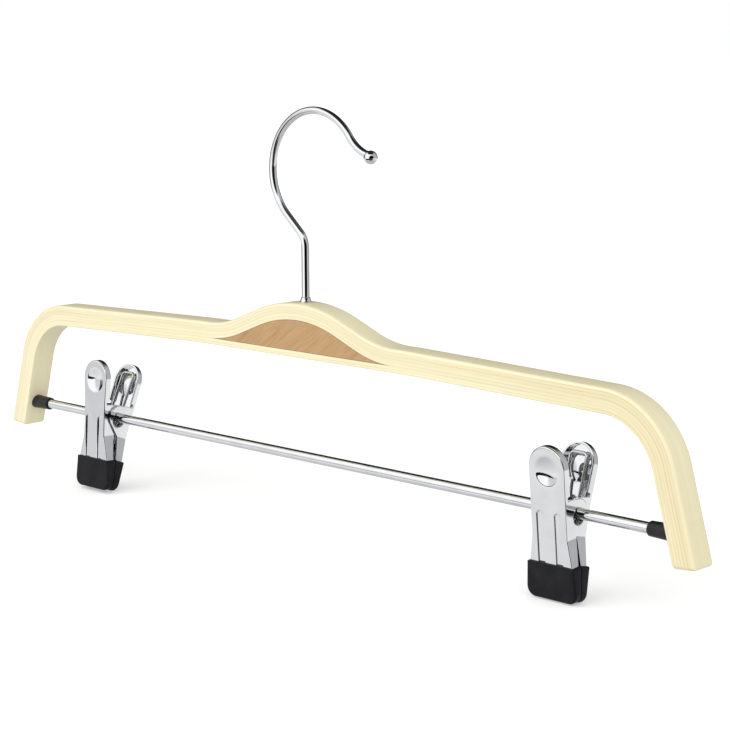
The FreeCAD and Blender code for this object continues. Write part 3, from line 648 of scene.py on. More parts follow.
def mixed(tree, share, first, second):
    """Colour mix; share and the colours are sockets or plain values."""
    return node(tree, "ShaderNodeMix", {0: share, 6: first, 7: second}, data_type="RGBA").outputs[2]


def number(tree, operation, *values):
    """Math node; its values are sockets or plain numbers."""
    return node(tree, "ShaderNodeMath", dict(enumerate(values)), operation=operation).outputs[0]


def weighed(tree, *terms):
    """Sum of (mask, weight) terms."""
    total = 0.0
    for mask, weight in terms:
        total = number(tree, "MULTIPLY_ADD", mask, weight, total)
    return total


def ranged(tree, value, from_low, from_high, to_low, to_high, kind="LINEAR"):
    """A value carried from one range to another."""
    inputs = {"Value": value, "From Min": from_low, "From Max": from_high,
              "To Min": to_low, "To Max": to_high}
    return node(tree, "ShaderNodeMapRange", inputs, interpolation_type=kind).outputs["Result"]


def attribute(tree, name):
    return node(tree, "ShaderNodeAttribute", {}, attribute_name=name).outputs


def bumped(tree, shader, height, strength, distance):
    bump = node(tree, "ShaderNodeBump", {"Height": height, "Strength": strength, "Distance": distance})
    feed(tree, shader, {"Normal": bump.outputs["Normal"]})


def grain_group():
    """Wood grain in a bent piece's own coordinates: fine fibres and broad figure."""
    known = bpy.data.node_groups.get("Bent grain")
    if known:
        return known
    tree, start, end = new_group(
        "Bent grain", "ShaderNodeTree",
        {"Place": "Vector", "Fibre stretch": "Vector", "Figure stretch": "Vector"},
        {"Fibre": "Float", "Figure": "Float"})
    for label, detail in (("Fibre", 4.0), ("Figure", 2.0)):
        stretch = start.outputs[label + " stretch"]
        stretched = node(tree, "ShaderNodeVectorMath", {0: start.outputs["Place"], 1: stretch},
                         operation="MULTIPLY")
        noise = node(tree, "ShaderNodeTexNoise", {"Vector": stretched.outputs[0], "Scale": 1.0,
                                                  "Detail": detail, "Roughness": GRAIN_ROUGHNESS})
        feed(tree, end, {label: ranged(tree, noise.outputs["Fac"], 0.3, 0.7, 0, 1)})
    return tree


def handling_group():
    """Uneven surface of moulded, dipped and plated pieces: broad smudges and a fine texture."""
    known = bpy.data.node_groups.get("Handling marks")
    if known:
        return known
    tree, start, end = new_group(
        "Handling marks", "ShaderNodeTree",
        {"Place": "Vector", "Smudge scale": "Float", "Texture scale": "Float"},
        {"Smudge": "Float", "Texture": "Float"})
    for label, detail, low, high in (("Smudge", 3.0, 0.38, 0.68), ("Texture", 2.0, 0.25, 0.75)):
        noise = node(tree, "ShaderNodeTexNoise", {"Vector": start.outputs["Place"], "Detail": detail,
                                                  "Scale": start.outputs[label + " scale"]})
        feed(tree, end, {label: ranged(tree, noise.outputs["Fac"], low, high, 0, 1)})
    return tree


def wood_grain(tree, fibre, figure, slant):
    """A bent piece's own coordinates (along, depth, height over the ply line), its fibres and its figure."""
    place = attribute(tree, "bent_place")["Vector"]
    turn = node(tree, "ShaderNodeVectorRotate", {"Vector": place, "Angle": slant}, rotation_type="Y_AXIS")
    grain = node(tree, "ShaderNodeGroup",
                 {"Place": turn.outputs["Vector"], "Fibre stretch": fibre, "Figure stretch": figure},
                 node_tree=grain_group())
    parts = node(tree, "ShaderNodeSeparateXYZ", {0: place})
    return parts.outputs, grain.outputs["Fibre"], grain.outputs["Figure"]


def pale_wood():
    """Lacquered pale veneers with fine fibres, glue lines, a tone for each ply, and painted shade along the
    right leg.
    """
    known = bpy.data.materials.get("Pale wood")
    if known:
        return known
    finish = bpy.context.scene.hanger_finish
    ply = bpy.context.scene.hanger_wood.ply
    material, tree, shader = blank_material("Pale wood")
    place, fibre, figure = wood_grain(tree, PALE_FIBRE, PALE_FIGURE, 0.0)
    along = place["X"]
    height = place["Z"]
    side = attribute(tree, "ply_side")["Fac"]
    layer = number(tree, "DIVIDE", height, ply)
    tone = node(tree, "ShaderNodeTexWhiteNoise", {"W": number(tree, "FLOOR", layer)}, noise_dimensions="1D")

    from_glue = number(tree, "PINGPONG", height, ply / 2)
    glue = number(tree, "MULTIPLY", ranged(tree, from_glue, *GLUE_LINE, 1, 0, "SMOOTHSTEP"), side)
    spot = node(tree, "ShaderNodeCombineXYZ", {
        "X": number(tree, "MULTIPLY", along, GLUE_PATCHES),
        "Y": number(tree, "MULTIPLY", number(tree, "ROUND", layer), GLUE_PATCH_SHIFT)})
    patchy = node(tree, "ShaderNodeTexNoise", {"Vector": spot.outputs[0], "Scale": 1.0, "Detail": 3.0})
    glue = number(tree, "MULTIPLY", glue, ranged(tree, patchy.outputs["Fac"], *GLUE_PATCH_RANGE))

    # Painted shade: the front and back faces grow darker towards the right leg
    leg_shade = ranged(tree, along, *LEG_SHADE_RANGE)
    shade = weighed(tree, (fibre, FIBRE_SHARE), (figure, FIGURE_SHARE), (tone.outputs["Value"], PLY_SHARE),
                    (leg_shade, side))
    wood = mixed(tree, shade, rgba(finish.pale_wood), rgba(finish.pale_grain))
    # Glue lines are real joints, darkened further towards the right leg as painted shade
    strength = number(tree, "MULTIPLY", glue, ranged(tree, along, *GLUE_STRENGTH_WITH_SHADE))
    feed(tree, shader, {"Base Color": mixed(tree, strength, wood, rgba(finish.glue_line)),
                        "Roughness": ranged(tree, fibre, 0, 1, *PALE_ROUGHNESS), **PALE_LACQUER})
    relief = number(tree, "SUBTRACT", number(tree, "MULTIPLY", fibre, PALE_FIBRE_RELIEF), glue)
    bumped(tree, shader, relief, *PALE_BUMP)
    return material


def core_wood():
    """Darker core block with close, slanting fibres and a dark line along its glued edge."""
    known = bpy.data.materials.get("Core wood")
    if known:
        return known
    finish = bpy.context.scene.hanger_finish
    material, tree, shader = blank_material("Core wood")
    place, fibre, figure = wood_grain(tree, CORE_FIBRE, CORE_FIGURE, CORE_SLANT)
    pores = ranged(tree, fibre, *CORE_PORES, "SMOOTHSTEP")
    wood = rgba(finish.core_wood)
    for mask, share in ((fibre, CORE_FIBRE_SHARE), (pores, CORE_PORE_SHARE), (figure, CORE_FIGURE_SHARE)):
        wood = mixed(tree, number(tree, "MULTIPLY", mask, share), wood, rgba(finish.core_grain))
    room = number(tree, "SUBTRACT", attribute(tree, "ply_side")["Fac"], place["Z"])
    edge = ranged(tree, number(tree, "MINIMUM", place["Z"], room), *CORE_EDGE_LINE, "SMOOTHSTEP")
    feed(tree, shader, {"Base Color": mixed(tree, edge, wood, rgba(finish.core_edge)),
                        "Roughness": ranged(tree, fibre, 0, 1, *CORE_ROUGHNESS)})
    bumped(tree, shader, fibre, *CORE_BUMP)
    return material


def handled(name, base, worn, roughness, waves, bump, plain):
    """Material with faint handling marks in its colour and polish, and a fine texture."""
    known = bpy.data.materials.get(name)
    if known:
        return known
    material, tree, shader = blank_material(name)
    place = node(tree, "ShaderNodeTexCoord", {})
    marks = node(tree, "ShaderNodeGroup",
                 {"Place": place.outputs["Object"], "Smudge scale": waves[0], "Texture scale": waves[1]},
                 node_tree=handling_group())
    smudge = marks.outputs["Smudge"]
    feed(tree, shader, {"Base Color": mixed(tree, smudge, rgba(base), rgba(worn)),
                        "Roughness": ranged(tree, smudge, 0, 1, *roughness), **plain})
    bumped(tree, shader, marks.outputs["Texture"], *bump)
    return material


def plated(name, base, roughness, wave):
    """Plated steel: bright, with slightly uneven polish."""
    haze = bpy.context.scene.hanger_finish.chrome_haze
    return handled(name, base, haze, roughness, METAL_MARKS, (wave, METAL_DEPTH), {"Metallic": 1.0})


def chrome_wire():
    return plated("Chrome wire", bpy.context.scene.hanger_finish.chrome, (0.04, 0.09), 0.02)


def chrome_sheet():
    return plated("Chrome sheet", bpy.context.scene.hanger_finish.chrome, (0.05, 0.1), 0.03)


def spring_steel():
    return plated("Spring steel", bpy.context.scene.hanger_finish.spring, (0.14, 0.26), 0.1)


def soft_vinyl():
    finish = bpy.context.scene.hanger_finish
    return handled("Soft vinyl", finish.vinyl, finish.vinyl_bloom, (0.42, 0.58), VINYL_MARKS,
                   (0.25, PLASTIC_DEPTH), {"Specular IOR Level": 0.1})


def sleeve_plastic():
    finish = bpy.context.scene.hanger_finish
    return handled("Sleeve plastic", finish.sleeve, finish.vinyl_bloom, (0.24, 0.34), SLEEVE_MARKS,
                   (0.1, PLASTIC_DEPTH), {"Specular IOR Level": 0.28})


# Bent wood

CROWN_STEPS = 28
FLANK_STEPS = 6
FOOT_STEPS = 12
BOW_STEPS = 5
SHOULDER_STEPS = 24
CORNER_STEPS = 30
LEG_STEPS = 8
SECTION_STEPS = 5
DRILL_LENGTH = 0.2

# The cut under a leg meets its outer face at a sharp angle, so the rounding runs further up the face
END_SLANT = 1.3


def bent_lines(wood):
    """Centres and lines that the bent band follows, in the arch's own plane."""
    lines = SimpleNamespace()
    lines.floor = wood.bar_to_wood + LOWER_PLIES * wood.ply
    lines.crown = lines.floor + wood.core_rise
    lines.top = lines.crown + UPPER_PLIES * wood.ply
    lines.leg = flat(wood.leg_splay)
    lines.shoulder = flat(math.pi / 2 - wood.shoulder_droop)
    lines.hump_centre = Vector((0, lines.crown - wood.crown_radius))
    lines.foot_centre = Vector((wood.core_reach, lines.floor + wood.foot_radius))
    lines.bow_centre = Vector((wood.core_reach, lines.floor - wood.bow_radius))
    lines.toe = Vector((wood.overall_width / 2, -wood.leg_below_bar))
    lines.leg_reach = lines.toe.dot(lines.leg) - UPPER_PLIES * wood.ply
    apart = lines.foot_centre - lines.hump_centre
    both = wood.crown_radius + wood.foot_radius
    lines.flank = math.asin(both / apart.length) - math.atan2(apart.y, apart.x)
    leg = lines.leg_reach - wood.corner_radius
    shoulder = lines.bow_centre.dot(lines.shoulder) + wood.bow_radius - wood.corner_radius
    spread = lines.leg.cross(lines.shoulder)
    lines.corner_centre = Vector(((leg * lines.shoulder.y - shoulder * lines.leg.y) / spread,
                                  (shoulder * lines.leg.x - leg * lines.shoulder.x) / spread))
    return lines


def hump_points(wood, lines, offset, last_angle):
    """Right half of the line over the core block, ending at an angle of the foot's arc."""
    upright = math.pi / 2
    points = arc_points(lines.hump_centre, wood.crown_radius + offset, upright, upright - lines.flank,
                        CROWN_STEPS)
    foot = arc_points(lines.foot_centre, wood.foot_radius - offset, 3 * upright - lines.flank, last_angle,
                      FOOT_STEPS)
    start = points[-1]
    points += [start.lerp(foot[0], index / FLANK_STEPS) for index in range(1, FLANK_STEPS)]
    return points + foot


def band_points(wood, lines, offset, humped):
    """Line of the bent band at an offset outside the ply line, from the left toe to the right toe."""
    upright = math.pi / 2
    fallen = upright - wood.shoulder_droop
    if humped:
        points = hump_points(wood, lines, offset, 3 * upright)
    else:
        count = CROWN_STEPS + FLANK_STEPS + FOOT_STEPS
        level = lines.floor + offset
        points = [Vector((wood.core_reach * index / count, level)) for index in range(count + 1)]
    points += arc_points(lines.bow_centre, wood.bow_radius + offset, upright, fallen, BOW_STEPS)[1:]
    bend = arc_points(lines.corner_centre, wood.corner_radius + offset, fallen, wood.leg_splay, CORNER_STEPS)
    start = points[-1]
    points += [start.lerp(bend[0], index / SHOULDER_STEPS) for index in range(1, SHOULDER_STEPS)]
    points += bend
    along = flat(wood.leg_end_tilt)
    run = (lines.leg_reach + offset - lines.toe.dot(lines.leg)) / along.dot(lines.leg)
    end = lines.toe + along * run
    points += [bend[-1].lerp(end, index / LEG_STEPS) for index in range(1, LEG_STEPS + 1)]
    return mirrored(points[1:]) + points


def strip_section(depth, thick, low_round, high_round):
    """Section of a strip as (depth, height, side) points; side is 1 on the flanks and 0 on the faces."""
    half = depth / 2
    right = []
    for radius, at, sense in ((low_round, 0.0, 1), (high_round, thick, -1)):
        corner = []
        for index, swing in enumerate(quarter_turn(SECTION_STEPS)):
            corner.append((half - radius * (1 - math.sin(swing)), at + sense * radius * (1 - math.cos(swing)),
                           index / SECTION_STEPS))
        if radius < TINY:
            corner = [(half, at, 1.0)]
        right += corner[::sense]
    return right + [(-y, height, side) for y, height, side in reversed(right)]


def bent_strip(low, high, base, section, thick, origin, end_round):
    """Solid strip between two lines with rounded ends, and its own coordinates kept on every vertex."""
    middles = [(first + second) / 2 for first, second in zip(low, high)]
    run = run_along(middles)
    last = len(low) - 1
    half = max(y for y, _, _ in section)
    swings = quarter_turn(ROUND_STEPS) if end_round else [0.0]
    stations = [(0, 1, swing) for swing in reversed(swings)]
    stations += [(index, index, 0.0) for index in range(1, last)]
    stations += [(last, last - 1, swing) for swing in swings]
    shape = bmesh.new()
    place = shape.verts.layers.float_vector.new("bent_place")
    flank = shape.verts.layers.float.new("ply_side")
    rings = []
    for index, inner, swing in stations:
        inward = (middles[inner] - middles[index]).normalized()
        sense = inner - index
        ring = []
        for y, height, side in section:
            point = low[index].lerp(high[index], height / thick)
            along = run[index] - run[-1] / 2
            if sense and end_round:
                inset = half - abs(y)
                bend = end_round - inset
                back = END_SLANT * inset + bend * (1 - math.sin(swing))
                y = math.copysign(half - inset - bend * (1 - math.cos(swing)), y)
                point = point + inward * back
                along += sense * back
            vertex = shape.verts.new(origin + Vector((point.x, y, point.y)))
            vertex[place] = (along, y, base + height)
            vertex[flank] = side
            ring.append(vertex)
        rings.append(ring)
    skin(shape, rings)
    count = len(section)
    for ring in (rings[0], rings[-1]):
        for index in range(count // 2 - 1):
            shape.faces.new((ring[index], ring[index + 1], ring[count - 2 - index], ring[count - 1 - index]))
    bmesh.ops.recalc_face_normals(shape, faces=shape.faces)
    return to_mesh(shape)


def bored(mesh, centre, diameter):
    """The strip with an upright round hole; new vertices take the nearest old vertex's coordinates."""
    spots = [vertex.co.copy() for vertex in mesh.vertices]
    places = [item.vector.copy() for item in mesh.attributes["bent_place"].data]
    sides = [item.value for item in mesh.attributes["ply_side"].data]
    nearest = KDTree(len(spots))
    for index, spot in enumerate(spots):
        nearest.insert(spot, index)
    nearest.balance()
    profile = [(0, 0), (0, diameter / 2), (DRILL_LENGTH, diameter / 2), (DRILL_LENGTH, 0)]
    drill = placed("helper", turned(profile, centre - UP * (DRILL_LENGTH / 2), UP, FINE_SIDES))
    thing = placed("helper", mesh)
    cutter = thing.modifiers.new("Bore", "BOOLEAN")
    cutter.operation = "DIFFERENCE"
    cutter.solver = "EXACT"
    cutter.object = drill
    result = plain_mesh(thing)
    bpy.data.objects.remove(drill)
    new_places = []
    new_sides = []
    for vertex in result.vertices:
        old = nearest.find(vertex.co)[1]
        new_places.extend(places[old] + vertex.co - spots[old])
        new_sides.append(sides[old])
    for name, kind, field, values in (("bent_place", "FLOAT_VECTOR", "vector", new_places),
                                      ("ply_side", "FLOAT", "value", new_sides)):
        if name in result.attributes:
            result.attributes.remove(result.attributes[name])
        result.attributes.new(name, kind, "POINT").data.foreach_set(field, values)
    return result


class HANGER_OT_bent_wood(bpy.types.Operator):
    """Bends the seven veneers round the core block"""
    bl_idname = "hanger.bent_wood"
    bl_label = "Bent wood"

    def execute(self, context):
        wood = context.scene.hanger_wood
        hook = context.scene.hanger_hook
        lines = bent_lines(wood)
        origin = middle_of_bar()
        shank = Vector((origin.x, 0, origin.z + lines.floor))
        layers = [(f"upper_veneer_{UPPER_PLIES - index}", index, True) for index in range(UPPER_PLIES)]
        layers += [(f"lower_veneer_{index + 1}", -index - 1, False) for index in range(LOWER_PLIES)]
        for name, layer, humped in layers:
            low = band_points(wood, lines, layer * wood.ply, humped)
            high = band_points(wood, lines, (layer + 1) * wood.ply, humped)
            low_round = wood.inner_round if layer == -LOWER_PLIES else 0
            high_round = wood.outer_round if layer == UPPER_PLIES - 1 else 0
            section = strip_section(wood.depth, wood.ply, low_round, high_round)
            mesh = bent_strip(low, high, layer * wood.ply, section, wood.ply, origin, wood.leg_end_round)
            mesh = bored(mesh, shank, hook.bore if humped else hook.recess)
            piece(name + "_bent", smooth(mesh), pale_wood(), "frame", "pale_wood", name)

        # The core keeps its height at each place beside its own coordinates
        tip = math.acos(1 - wood.core_tip / wood.foot_radius)
        over = hump_points(wood, lines, 0, 3 * math.pi / 2 - tip)
        over = mirrored(over[1:]) + over
        under = [Vector((point.x, lines.floor)) for point in over]
        section = strip_section(wood.depth, wood.ply, 0, 0)
        mesh = bent_strip(under, over, 0, section, wood.ply, origin, 0.0)
        rooms = mesh.attributes["ply_side"].data
        for index, item in enumerate(mesh.attributes["bent_place"].data):
            spot = mesh.vertices[index].co - origin
            item.vector = (spot.x, spot.y, spot.z - lines.floor)
            rooms[index].value = over[index // len(section)].y - lines.floor
        mesh = bored(mesh, shank, hook.bore)
        piece("core_block_shaped", smooth(mesh), core_wood(), "frame", "core_wood", "core_block")
        return {"FINISHED"}


# Hook

HOOK_SIDES = 40
HOOK_STEP = 0.002
STEM_RUN = 0.012
BEND_STEPS = 24
CROWN_BEND_STEPS = 96
FLICK_STEPS = 16

# The wire swells into the ball over a short neck, which begins and ends at these shares of the ball's radius
NECK_SHARE = 1.28
SWELL_SHARE = 1.08
SWELL = 0.00008
BALL_SEAT = 0.0002
BALL_STEPS = 24

RIVET_ROUND = 0.0004
RIVET_EDGE = 0.0002
WASHER_EDGE = 0.0002

# The ferrule draws in between its rims, at shares of its height to shares of its base and top
FERRULE_LIP = 0.0003
FERRULE_FOOT_SHARES = (0.35, 0.93)
FERRULE_NECK_SHARES = (0.7, 1.03)


def hook_path(hook, foot):
    """Points of the hook's wire from its riveted foot to the ball, and the ball's centre and direction."""
    bend = hook.bend_angle
    mouth = hook.mouth_angle
    centre = Vector((-hook.bend_radius, 0)) + flat(bend) * (hook.bend_radius + hook.crown_radius)
    centre += flat(bend + math.pi / 2) * hook.neck_run
    stem_top = hook.wire / 2 - hook.crown_radius - centre.y
    crown = Vector((centre.x, centre.y + stem_top))
    points = [Vector((0, foot)), Vector((0, stem_top - STEM_RUN))]
    run_to(points, Vector((0, stem_top)), HOOK_STEP)
    points += arc_points(Vector((-hook.bend_radius, stem_top)), hook.bend_radius, 0, bend, BEND_STEPS)[1:]
    run_to(points, crown - flat(bend) * hook.crown_radius, HOOK_STEP)
    points += arc_points(crown, hook.crown_radius, bend + math.pi, mouth, CROWN_BEND_STEPS)[1:]
    flick = crown + flat(mouth) * (hook.crown_radius + hook.flick_radius)
    last = mouth + math.pi + hook.flick_angle
    points += arc_points(flick, hook.flick_radius, mouth + math.pi, last, FLICK_STEPS)[1:]
    heading = flat(last + math.pi / 2)
    ball = points[-1] + heading * hook.tail
    run_to(points, ball, HOOK_STEP)
    return points, ball, heading


def ball_profile(hook):
    """Profile of the ball tip from its neck on the wire to its end."""
    radius = hook.ball / 2
    rod = hook.wire / 2
    seat = math.asin((rod + BALL_SEAT) / radius)
    line = [(-radius * NECK_SHARE, 0), (-radius * NECK_SHARE, rod), (-radius * SWELL_SHARE, rod + SWELL)]
    for index in range(BALL_STEPS):
        swing = seat + (math.pi - seat) * index / BALL_STEPS
        line.append((-radius * math.cos(swing), radius * math.sin(swing)))
    return line + [(radius, 0)]


class HANGER_OT_hook(bpy.types.Operator):
    """Bends the swivel hook and turns its ball, riveted foot and ferrule"""
    bl_idname = "hanger.hook"
    bl_label = "Hook"

    def execute(self, context):
        hook = context.scene.hanger_hook
        lines = bent_lines(context.scene.hanger_wood)
        bar = middle_of_bar()
        across = Vector((bar.x, 0, 0))
        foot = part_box("hook")[0].z
        points, ball, heading = hook_path(hook, foot + hook.rivet_height / 2)
        stem = wire([across + stood(point) for point in points], hook.wire, HOOK_SIDES, chrome_wire())
        knob = turned(ball_profile(hook), across + stood(ball), stood(heading))

        wide = hook.rivet / 2
        tall = hook.rivet_height
        head = [(0, 0)] + quarter((0, wide - RIVET_ROUND), (0, wide), (RIVET_ROUND, wide))
        head += quarter((tall - RIVET_EDGE, wide), (tall, wide), (tall, wide - RIVET_EDGE)) + [(tall, 0)]
        rivet = turned(head, across + Vector((0, 0, foot)), UP)
        piece("hook_bent", joined([stem, knob, rivet]), chrome_wire(), "hook", "chrome", "hook")

        bore = hook.bore / 2
        base = hook.ferrule_base / 2
        top = hook.ferrule_top / 2
        tall = hook.ferrule_height
        lip = FERRULE_LIP
        collar = [(0, bore)] + quarter((0, base - lip), (0, base), (lip, base))
        collar.append((tall * FERRULE_FOOT_SHARES[0], base * FERRULE_FOOT_SHARES[1]))
        collar.append((tall * FERRULE_NECK_SHARES[0], top * FERRULE_NECK_SHARES[1]))
        collar += quarter((tall - lip, top), (tall, top), (tall, top - lip)) + [(tall, bore), (0, bore)]
        ring = turned(collar, Vector((bar.x, 0, bar.z + lines.top)), UP)
        piece("hook_ferrule_turned", ring, chrome_wire(), "frame", "chrome", "hook_ferrule")

        low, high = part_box("hook_washer")
        wide = (high.x - low.x) / 2
        tall = high.z - low.z
        edge = WASHER_EDGE
        disc = [(0, bore)] + quarter((0, wide - edge), (0, wide), (edge, wide))
        disc += quarter((tall - edge, wide), (tall, wide), (tall, wide - edge)) + [(tall, bore), (0, bore)]
        washer = turned(disc, Vector((bar.x, 0, low.z)), UP)
        piece("hook_washer_turned", washer, chrome_wire(), "frame", "chrome", "hook_washer")
        return {"FINISHED"}


# Bar and sleeves

BAR_SIDES = 48
BAR_STEPS = 60
TAPER_STEPS = 8


class HANGER_OT_bar(bpy.types.Operator):
    """Draws the bar and turns its two end sleeves"""
    bl_idname = "hanger.bar"
    bl_label = "Bar and sleeves"

    def execute(self, context):
        sizes = context.scene.hanger_bar
        low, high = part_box("bar")
        middle = middle_of_bar()
        start = Vector((low.x, middle.y, middle.z))
        run = Vector((high.x - low.x, 0, 0))
        points = [start + run * index / BAR_STEPS for index in range(BAR_STEPS + 1)]
        rod = wire(points, sizes.bar, BAR_SIDES, chrome_wire())
        piece("bar_drawn", rod, chrome_wire(), "frame", "chrome", "bar")

        bore = sizes.bar / 2
        plug = sizes.plug / 2
        small = sizes.small_end / 2
        end = sizes.plug_depth + sizes.sleeve
        taper = sizes.sleeve - sizes.end_round
        line = [(0, bore), (0, plug), (sizes.plug_depth, plug)]
        for index in range(1, TAPER_STEPS + 1):
            share = index / TAPER_STEPS
            line.append((sizes.plug_depth + taper * share, plug + (small - plug) * share))
        line += quarter((end - sizes.end_round, small), (end, small), (end, small - sizes.end_round))[1:]
        line += [(end, bore), (0, bore)]
        for side, x, sense in (("left", low.x, 1), ("right", high.x, -1)):
            name = f"{side}_end_sleeve"
            sleeve = turned(line, Vector((x, middle.y, middle.z)), Vector((sense, 0, 0)), FINE_SIDES)
            piece(name + "_turned", sleeve, sleeve_plastic(), "frame", "sleeve_plastic", name)
        return {"FINISHED"}


# Clips: a jaw is drawn about the pivot, its plate in front and its inside towards the back

JAW_STEP = 0.00045
PLATE_STEP = 0.00028
FLANGE_STEP = JAW_STEP * 1.2
NOTCH_STEPS = 10
EAR_STEPS = 40
HOLE_SIDES = 48
JAW_MERGE_DISTANCE = 2e-6
JAW_SHARP_ANGLE = 40.0
DULLED_EDGE = 0.0001
DULLED_STEPS = 2
DULLED_ANGLE = 55

# A spot on the flat of the plate, by its height over the pivot, shows which way the plate faces
FLAT_SPOT = 0.002

# Pressed forms: the dimple's soft edge and the shares of its size where it ends, and the ribs' walls
DIMPLE_SOFT = 0.00022
DIMPLE_LIMIT_SHARE = 0.98
DIMPLE_END_SHARE = 0.75
DIMPLE_FADE_SHARE = 0.2
RIB_WALL = 0.0003

# Dipped tips: how much crisper their upper front edge is, their back edges, and borders of their flat faces
TIP_STEP = 0.0005
TIP_CRISP_SHARE = 0.65
TIP_BACK_ROUND = 0.00035
TIP_FRONT_BORDER = 0.0004
TIP_BACK_BORDER = 0.0003

SPRING_SIDES = 20
COIL_STEPS = 110
BIGHT_STEPS = 12
SPRING_LEG_STEPS = 8

# The jaw that lies in front on each clip
FRONT_JAWS = (("left", "inner"), ("right", "outer"))


def middle_plane(clip, height, gap):
    """Depth in a jaw's side view that lies a gap in front of the closed clip's middle plane."""
    return height * math.tan(clip.lean) - gap / math.cos(clip.lean)


def jaw_half(clip, waist):
    """Right half of a jaw's outline, from the top of the handle to the middle of the foot."""
    head = clip.head / 2
    shoulder = Vector((head, clip.handle))
    ear = Vector((waist / 2, clip.ear_top))
    half_turn = Vector((-1, 0)).angle(ear - shoulder) / 2
    corners = [
        (Vector((0, clip.handle)), 0),
        (shoulder, head * math.tan(half_turn)),
        (ear, clip.bend_round),
        (Vector((waist / 2, -clip.flare_top)), clip.bend_round),
        (Vector((clip.foot / 2, -clip.flare_bottom)), clip.bend_round),
        (Vector((clip.foot / 2, -clip.drop)), clip.toe_round),
        (Vector((0, -clip.drop)), 0),
    ]
    return rounded_line(corners, JAW_STEP)


def pressing(clip, places):
    """How far the plate is pressed inwards at each place: thumb dimple and two ribs."""
    radius = (clip.dimple ** 2 / 4 + clip.dimple_depth ** 2) / (2 * clip.dimple_depth)
    far = np.hypot(places[:, 0], places[:, 1] - clip.dimple_height)
    near = np.minimum(far, radius * DIMPLE_LIMIT_SHARE)
    cap = np.sqrt(np.maximum(radius ** 2 - near ** 2, 0)) - (radius - clip.dimple_depth)
    pressed = (cap + np.sqrt(cap ** 2 + DIMPLE_SOFT ** 2)) / 2
    pressed *= np.clip((clip.dimple * DIMPLE_END_SHARE - far) / (clip.dimple * DIMPLE_FADE_SHARE), 0, 1)
    high = clip.rib_top - clip.rib / 2
    low = clip.rib / 2 - clip.rib_bottom
    level = places[:, 1] - np.clip(places[:, 1], low, high)
    for sign in (-1, 1):
        edge = clip.rib / 2 - np.hypot(places[:, 0] - sign * clip.rib_spacing / 2, level)
        share = np.clip(edge / RIB_WALL, 0, 1)
        pressed = np.maximum(pressed, clip.rib_depth * share * share * (3 - 2 * share))
    return pressed


def flange_edge(clip):
    """Free edge of a flange as (depth, height) points from the handle's rim to the foot."""
    plate = -clip.plate
    rim = plate + clip.rim
    half = clip.notch / 2
    notch = Vector((plate + clip.notch_floor + half, clip.ear_top + half))
    under = Vector((notch.x, clip.ear_top))
    apex = Vector((middle_plane(clip, -clip.apex, clip.split / 2), -clip.apex))
    ear = Vector((0, clip.ear_rise))
    above = under - ear
    below = apex - ear
    upper = math.atan2(above.y, above.x) - math.acos(clip.ear / above.length)
    lower = math.atan2(below.y, below.x) + math.acos(clip.ear / below.length)
    low = -clip.drop + clip.toe_round
    points = [Vector((rim, clip.ear_top + clip.notch))]
    points += arc_points(notch, half, math.pi / 2, 3 * math.pi / 2, NOTCH_STEPS)
    points += arc_points(ear, clip.ear, upper, lower, EAR_STEPS)
    points.append(apex)
    run_to(points, Vector((middle_plane(clip, low, clip.split / 2), low)), JAW_STEP)
    return points


def fold_at(clip, point):
    """Outside radius of the fold at a point of the outline, growing over the handle's round top."""
    share = (point.y - clip.handle + clip.head / 2) / (clip.head / 2)
    return clip.fold_round + (clip.head_round - clip.fold_round) * min(max(share, 0), 1)


def fold_rings(clip, loop):
    """Rings of the rounded fold, from the flat plate round to the flange."""
    rings = []
    inward = inward_of(loop)
    for swing in quarter_turn(ROUND_STEPS):
        ring = []
        for point, normal in zip(loop, inward):
            fold = fold_at(clip, point)
            spot = point + normal * fold * (1 - math.sin(swing))
            ring.append(Vector((spot.x, fold * (1 - math.cos(swing)) - clip.plate, spot.y)))
        rings.append(ring)
    return rings


def add_triangles(shape, spots, triangles):
    made = [shape.verts.new(spot) for spot in spots]
    for triangle in triangles:
        shape.faces.new([made[index] for index in triangle])


def add_flanges(shape, clip, half):
    """Both flanges with their ears, laid flat along the outline and folded back to it."""
    plate = -clip.plate
    side = [point for point in half if point.y >= clip.toe_round - clip.drop - TINY]
    run = np.array(run_along(side))
    xs = np.array([point.x for point in side])
    heights = np.array([point.y for point in side])
    edge = flange_edge(clip)
    at = [float(np.interp(-point.y, -heights, run)) for point in edge]
    domain = [(along, plate + fold_at(clip, point)) for along, point in zip(run, side)]
    domain += [(along, point.x) for along, point in reversed(list(zip(at, edge)))]
    domain += [(along, plate + clip.rim) for along in reversed(run) if along < at[0] - JAW_STEP / 2]
    level = float(np.interp(0, -heights, run))
    hole = []
    for index in range(HOLE_SIDES):
        swing = 2 * math.pi * index / HOLE_SIDES
        hole.append((level + clip.hole / 2 * math.sin(swing), clip.hole / 2 * math.cos(swing)))
    places, triangles = filled(domain, [hole], FLANGE_STEP)
    for sign in (1, -1):
        spots = [(sign * float(np.interp(along, run, xs)), deep, float(np.interp(along, run, heights)))
                 for along, deep in places]
        add_triangles(shape, spots, triangles)


